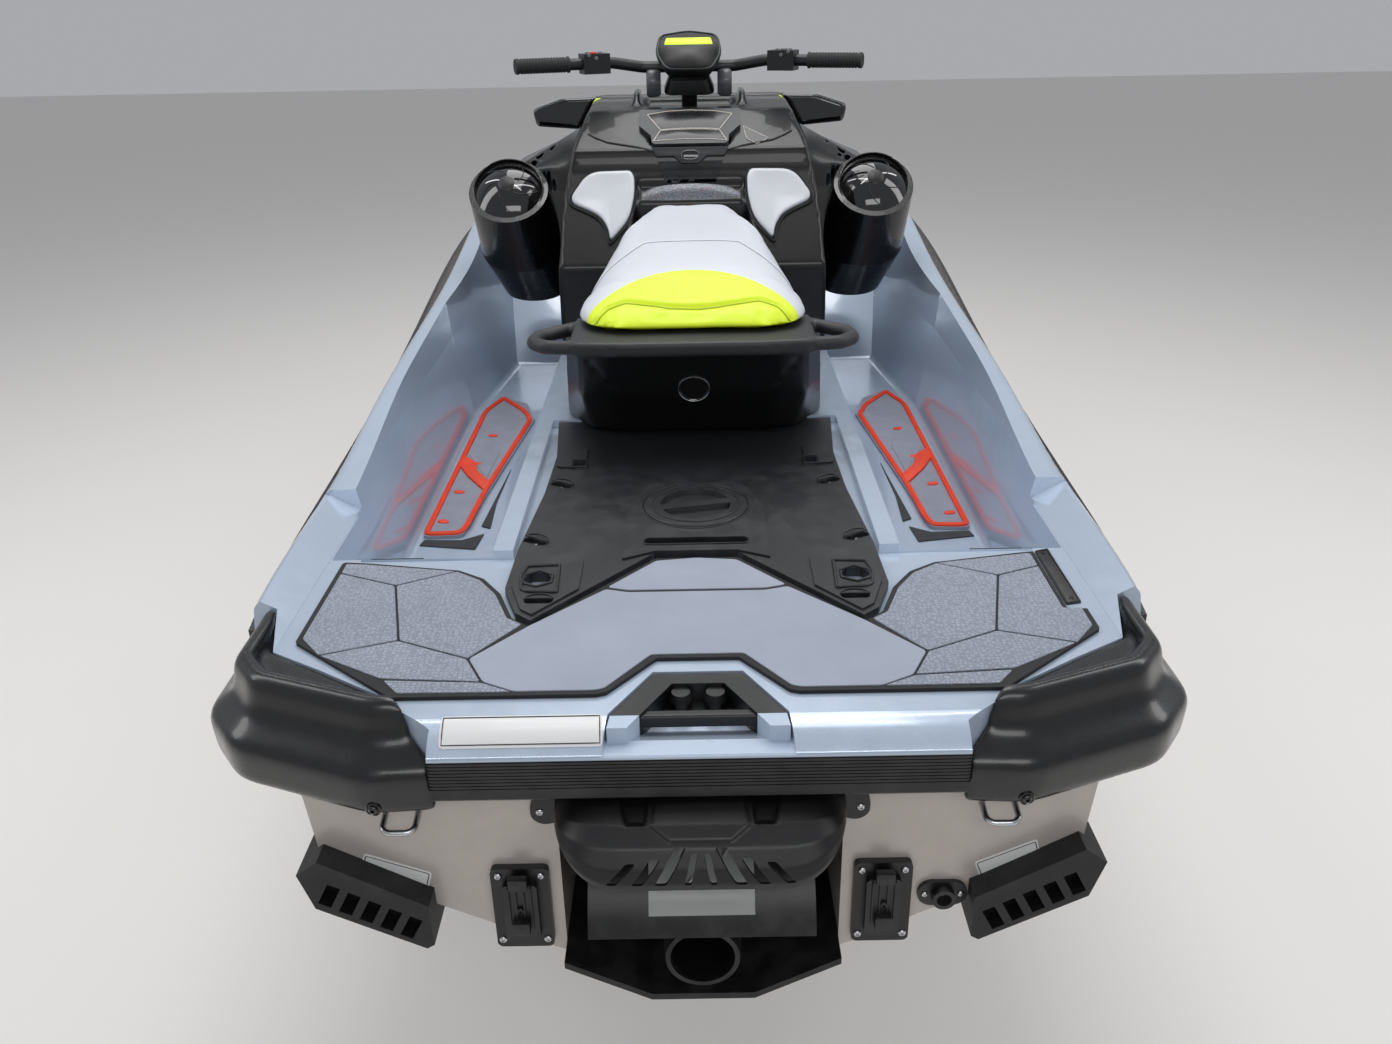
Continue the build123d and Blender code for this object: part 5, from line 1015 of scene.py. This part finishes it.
lid_lay, LID_TOP = laid(at(0, 1604, 893), leant(23.3)), 10.3
lip_place, high, low = (console_face(0, z, 0.6) for z in (890, 889, 872))
lip_lay = laid(Vector((0, lip_place.y, lip_place.z)), high - low)
lip, latch = bmesh.new(), bmesh.new()
slab(lip, rounded(lip_line, 5, 3), 9, lip_lay, 2.0, 0.4)
piece("glovebox_lip", lip, satin_dash, body="glovebox_cover")
oval = [(21 * bulged(cos(a), 0.7), -12 + 11 * bulged(sin(a), 0.8)) for a in
        (tau * k / 48 for k in range(48))]
slab(latch, oval, 11, lip_lay, 1.6, 2)
band(latch, inset(oval, 0.2), 2.6, 12.6, lip_lay, 0.9, 10)
piece("glovebox_latch", latch, gloss_black, body="glovebox_cover")

# Blank dash plates
# Glossy dark plates with pale borders, left blank.
# They are thin printed plastic, bonded on the lid and beside it.
upper = [(99, 134), (52, 148), (0, 152), (-52, 148), (-99, 134), (-68, 64), (-34, 68), (0, 69), (34, 68), (68, 64)]
lower = [(68, 62), (34, 66), (0, 67), (-34, 66), (-68, 62), (-84, 16), (-42, 22), (0, 24), (42, 22), (84, 16)]
side_line = [(122, 1690), (128, 1640), (150, 1618), (178, 1640)]
plate_dark = finish_of("plate_dark", (16, 17, 20), 0.28, coat=0.15, mottle=0.15, mottle_scale=40, rough_spread=0.05)
plate_edge = finish_of("plate_edge", (196, 186, 176), 0.4, mottle=0.05, grain=0.1)
plates, edges, side_plate, side_edge = bmesh.new(), bmesh.new(), bmesh.new(), bmesh.new()
for outline in (upper, lower):
    slab(plates, rounded(outline, 4, 3), LID_TOP + 0.7, lid_lay, 0.3, LID_TOP - 0.4)
    band(edges, rounded(outline, 4, 3), 1.8, LID_TOP + 1.1, lid_lay, 0.3, LID_TOP - 0.4)
piece("dash_plates", plates, plate_dark, body="glovebox_cover")
piece("dash_plate_edges", edges, plate_edge, body="glovebox_cover")
draped(side_plate, side_line, "console", 1.2, cell=10)
piece("dash_side_plate", side_plate, plate_dark)
tube(side_edge, over("console", side_line + side_line[:1], 0.9, 8), 0.9)
piece("dash_side_plate_edge", side_edge, plate_edge)

# Knee pads
# Silver moulded pads on the console's shoulders, each with a soft hollow, set in a polished black surround.
# They are clipped on from behind.
PAD_MIDDLE_U, PAD_MIDDLE_V = 184, 168
knee_line = [(230, 230), (134, 232), (126, 215), (126, 172), (138, 112), (180, 59), (184, 90), (200, 118), (222, 133),
             (274, 158)]
knee_silver = finish_of("knee_silver", (186, 189, 194), 0.4, metallic=0.15, coat=0.15, grain=0.2, grain_scale=1200,
                        mottle=0.04, wear=0.1)
knee_lay = laid(at(0, 1440, 668), leant(50.5))
surround, pads = bmesh.new(), bmesh.new()
for side in (-1, 1):
    outline = on_side(side, knee_line)
    band(surround, rounded(inset(outline, -7), 34, 7), 6.4, 6.5, knee_lay, 2.4, 0.2)
    pad_line, middle_u = rounded(outline, 30, 7), side * PAD_MIDDLE_U
    rim = [[knee_lay(u, v, w) for u, v in inset(pad_line, shrink)] for shrink, w in (
        (0, 0.6), (0, 7), (1, 9.2), (3.2, 10.2))]
    hollow = [[knee_lay(middle_u + (u - middle_u) * share, PAD_MIDDLE_V + (v - PAD_MIDDLE_V) * share, w)
               for u, v in pad_line] for share, w in ((0.86, 10.0), (0.6, 8.6), (0.3, 7.8), (0.02, 7.6))]
    skinned(pads, rim + hollow)
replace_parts(piece("knee_pad_mouldings", pads, knee_silver, sharp=60), "knee_pads")
piece("knee_surrounds", surround, gloss_black)

# Pods
# Black drum-shaped pods, screwed on at the dash's corners and closed by polished domes.
# A satin boss sits in the middle of each, and fine ridges curl out from it.
DOME_PLACE = (434, 1722, 790)
RIDGE_COUNT = 5
pod_black = finish_of("pod_black", (7, 8, 9), 0.26, mottle=0.12, grain=0.15, grain_scale=1000, coat=0.3,
                      specular=0.35)
dress(pod_black, "pods")
dress(gloss_black, "pod_domes")
bosses, bezels = bmesh.new(), bmesh.new()
climb = leant(50)
out, side_way = Vector((0, -climb[2], climb[1])), Vector((1, 0, 0))
up_way = out.cross(side_way)
for side in (-1, 1):
    foot = at(side * DOME_PLACE[0], *DOME_PLACE[1:])
    place, _ = touch("pod_domes", foot + out * 0.3, -out)
    turned(bosses, [(19, -2), (19, 1.4), (17, 2.4), (8, 3.4), (0.4, 3.8)], place, out, 40)
    turned(bezels, [(83, -3), (84.5, 2), (83.5, 5.5), (81.2, 6.2), (80.2, 4), (80.2, -3)], foot, out, 72)
    for start in (radians(20 + 72 * ridge) for ridge in range(RIDGE_COUNT)):
        run = []
        for k in range(9):
            b, r = start + 0.10 * k, (28 + 5.4 * k) / 1000
            over_dome = foot + (side_way * cos(b) + up_way * sin(b)) * r + out * 0.2
            spot, normal = touch("pod_domes", over_dome, -out)
            run.append(spot + normal * 0.0004)
        tube(bosses, run, 1.1)
piece("dome_bosses", bosses, satin_black)
piece("dome_bezels", bezels, pod_black)

# Steering
# Tubular bar on a moulded column, with switch blocks and folded levers clamped on.
# The grips are ribbed rubber sleeves, pushed over the bar's ends.
BAR_BEND, BAR_END = (180, 1840, 1062), (392, 1758, 1062)
GRIP_LENGTH, GRIP_R, BAR_R, GRIP_RIBS = 122, 18, 13.2, 15
column_black = finish_of("column_black", (17, 18, 19), 0.34, grain=0.25, grain_scale=1000, wear=0.3)
grip_rubber = finish_of("grip_rubber", (18, 19, 20), 0.66, mottle=0.15, grain=0.6, grain_scale=600, wear=0.3)
dress(column_black, "steering_column", "handlebar")
grip_profile = [(BAR_R, -8), (GRIP_R - 2, -8.6), (GRIP_R - 0.6, -6), (GRIP_R - 0.6, -1), (GRIP_R - 2.6, 1)]
for start in (4 + k * (GRIP_LENGTH - 14) / GRIP_RIBS for k in range(GRIP_RIBS)):
    grip_profile += [(GRIP_R - 2.4, start), (GRIP_R - 1.0, start + 1.4), (GRIP_R - 1.0, start + 4.4),
                     (GRIP_R - 2.4, start + 5.6)]
grip_profile += [(GRIP_R - 2.4, GRIP_LENGTH - 9), (GRIP_R, GRIP_LENGTH - 6), (GRIP_R, GRIP_LENGTH - 2),
                 (BAR_R, GRIP_LENGTH)]
grips = bmesh.new()
for side in (-1, 1):
    end, bend = (at(side * x, y, z) for x, y, z in (BAR_END, BAR_BEND))
    turned(grips, grip_profile, end, bend - end, 40)
ribbed = piece("ribbed_grips", grips, grip_rubber, body="steering", sharp=50)
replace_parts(ribbed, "grips")

# Switches
# Rubber push buttons and a rocker on the blocks by the grips; the stop button on the port one is red.
# Each is pressed through its block from inside.
BLOCK_X, BLOCK_Y, BLOCK_Z = 222, 1824, 1062
key_places = ((-14, 6, 6), (2, 10, 8), (15, 3, 5), (-6, -12, 4.5), (10, -12, 4.5))
switch_red = finish_of("switch_red", (206, 32, 30), 0.4, mottle=0.06, coat=0.3, grain=0.1)
switch_grey = finish_of("switch_grey", (92, 94, 96), 0.5, mottle=0.06, grain=0.3)
key_way = Vector((0, -0.64, 0.77))
red_stop, keys = bmesh.new(), bmesh.new()
for side in (-1, 1):
    for across, along, radius in key_places:
        start = at(side * (BLOCK_X + across), BLOCK_Y + along, BLOCK_Z) + key_way * 0.2
        place, normal = touch("handlebar", start, -key_way)
        work = red_stop if side < 0 and radius == 8 else keys
        turned(work, [(radius, -3), (radius, 2.6), (radius * 0.86, 3.8), (radius * 0.5, 4.2), (0.3, 4.0)], place,
               normal, 28)
piece("switch_keys", keys, switch_grey, body="steering")
piece("stop_button", red_stop, switch_red, body="steering")

# Display
# Sealed instrument with a lit lime strip at its top behind dark glass, in a rounded moulded shell.
# It is screwed on the column's head, between two grey shrouds.
FACE_W = 26
SCREEN_LIME = (190, 226, 34)
SHROUD_Y, SHROUD_Z = 1866, 1014
face_line = [(-79, -14), (-70, 37), (0, 49), (70, 37), (79, -14), (54, -62), (-54, -62)]
lit_line = [(-57, 8), (-52, 27), (52, 27), (57, 8)]
shroud_line = [(1838, 982), (1826, 1020), (1842, 1046), (1880, 1046), (1902, 1020), (1898, 982)]
screen_dark = finish_of("screen_dark", (5, 6, 7), 0.24, rough_spread=0.04, specular=0.3)
screen_lime = finish_of("screen_lime", SCREEN_LIME, 0.35, mottle=0.08, mottle_scale=60, grain=0.05)
wired(screen_lime.node_tree.nodes["Principled BSDF"], {
    "Emission Strength": 0.5, "Emission Color": linear(*SCREEN_LIME)})
shroud_grey = finish_of("shroud_grey", (72, 75, 78), 0.3, mottle=0.08, grain=0.15, coat=0.2, wear=0.2)
display_lay = laid(at(0, 1845, 1075), leant(48))
shell, glass, lcd, shrouds = bmesh.new(), bmesh.new(), bmesh.new(), bmesh.new()
skinned(shell, [[display_lay(share * u, share * (v + 8) - 8, w) for u, v in rounded(face_line, 17, 5)] for share, w in (
    (0.45, -26), (0.66, -22), (0.88, -8), (0.97, 8), (1.0, FACE_W - 8), (1.0, FACE_W - 1), (0.985, FACE_W + 2),
    (0.955, FACE_W + 3), (0.93, FACE_W + 2.2), (0.925, FACE_W + 0.6))])
display_shell = piece("display_shell", shell, column_black, body="steering", sharp=50)
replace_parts(display_shell, "display")
slab(glass, rounded(inset(face_line, 5.4), 14, 5), FACE_W + 1.6, display_lay, 0.5, FACE_W - 0.4)
piece("display_glass", glass, screen_dark, body="steering")
slab(lcd, rounded(lit_line, 3, 3), FACE_W + 2.0, display_lay, 0.2, FACE_W + 1.0)
piece("display_lcd", lcd, screen_lime, body="steering")
for side in (-1, 1):
    skinned(shrouds, [[at(side * x, SHROUD_Y + (y - SHROUD_Y) * grow, SHROUD_Z + (z - SHROUD_Z) * grow)
                       for y, z in rounded(shroud_line, 9, 3)] for x, grow in (
        (68, 0.80), (74, 0.95), (92, 1.0), (99, 0.94), (102, 0.8))])
piece("column_shrouds", shrouds, shroud_grey, body="steering")

# Front lid and mirrors
# One moulded lid, hinged at the bow, black on its flanks and painted like the deck on its crown.
# The mirrors' polished housings are screwed to it, and two lime accents sit at the dash's shoulders.
CROWN_Y, CROWN_SPREAD = 2190, 0.7
accent_line = [(224, 1900), (240, 1898), (240, 1982), (222, 1984)]
hood_black = finish_of("hood_black", (22, 23, 24), 0.3, grain=0.2, grain_scale=1100, coat=0.2, wear=0.2)
lime_trim = finish_of("lime_trim", (196, 216, 30), 0.4, mottle=0.06, coat=0.2, grain=0.1)


def crown(maths, x, y, z):
    """Metres inside the lid's pale crown, ahead of the dash."""
    ahead = maths("SUBTRACT", y, at(0, CROWN_Y, 0).y)
    return maths("SUBTRACT", ahead, maths("MULTIPLY", maths("ABSOLUTE", x), CROWN_SPREAD))


second_colour(hood_black, DECK_BLUE, crown, 600.0)
softened("hood", "front_lid_moulding", 0.0066, 12, hood_black, body="front_lid")
softened("mirrors", "mirror_housings", 0.0036, 14, gloss_black, body="front_lid", kept=0.6)
accents = bmesh.new()
for side in (-1, 1):
    draped(accents, on_side(side, accent_line), "console", 1.6, cell=12)
piece("dash_accents", accents, lime_trim)
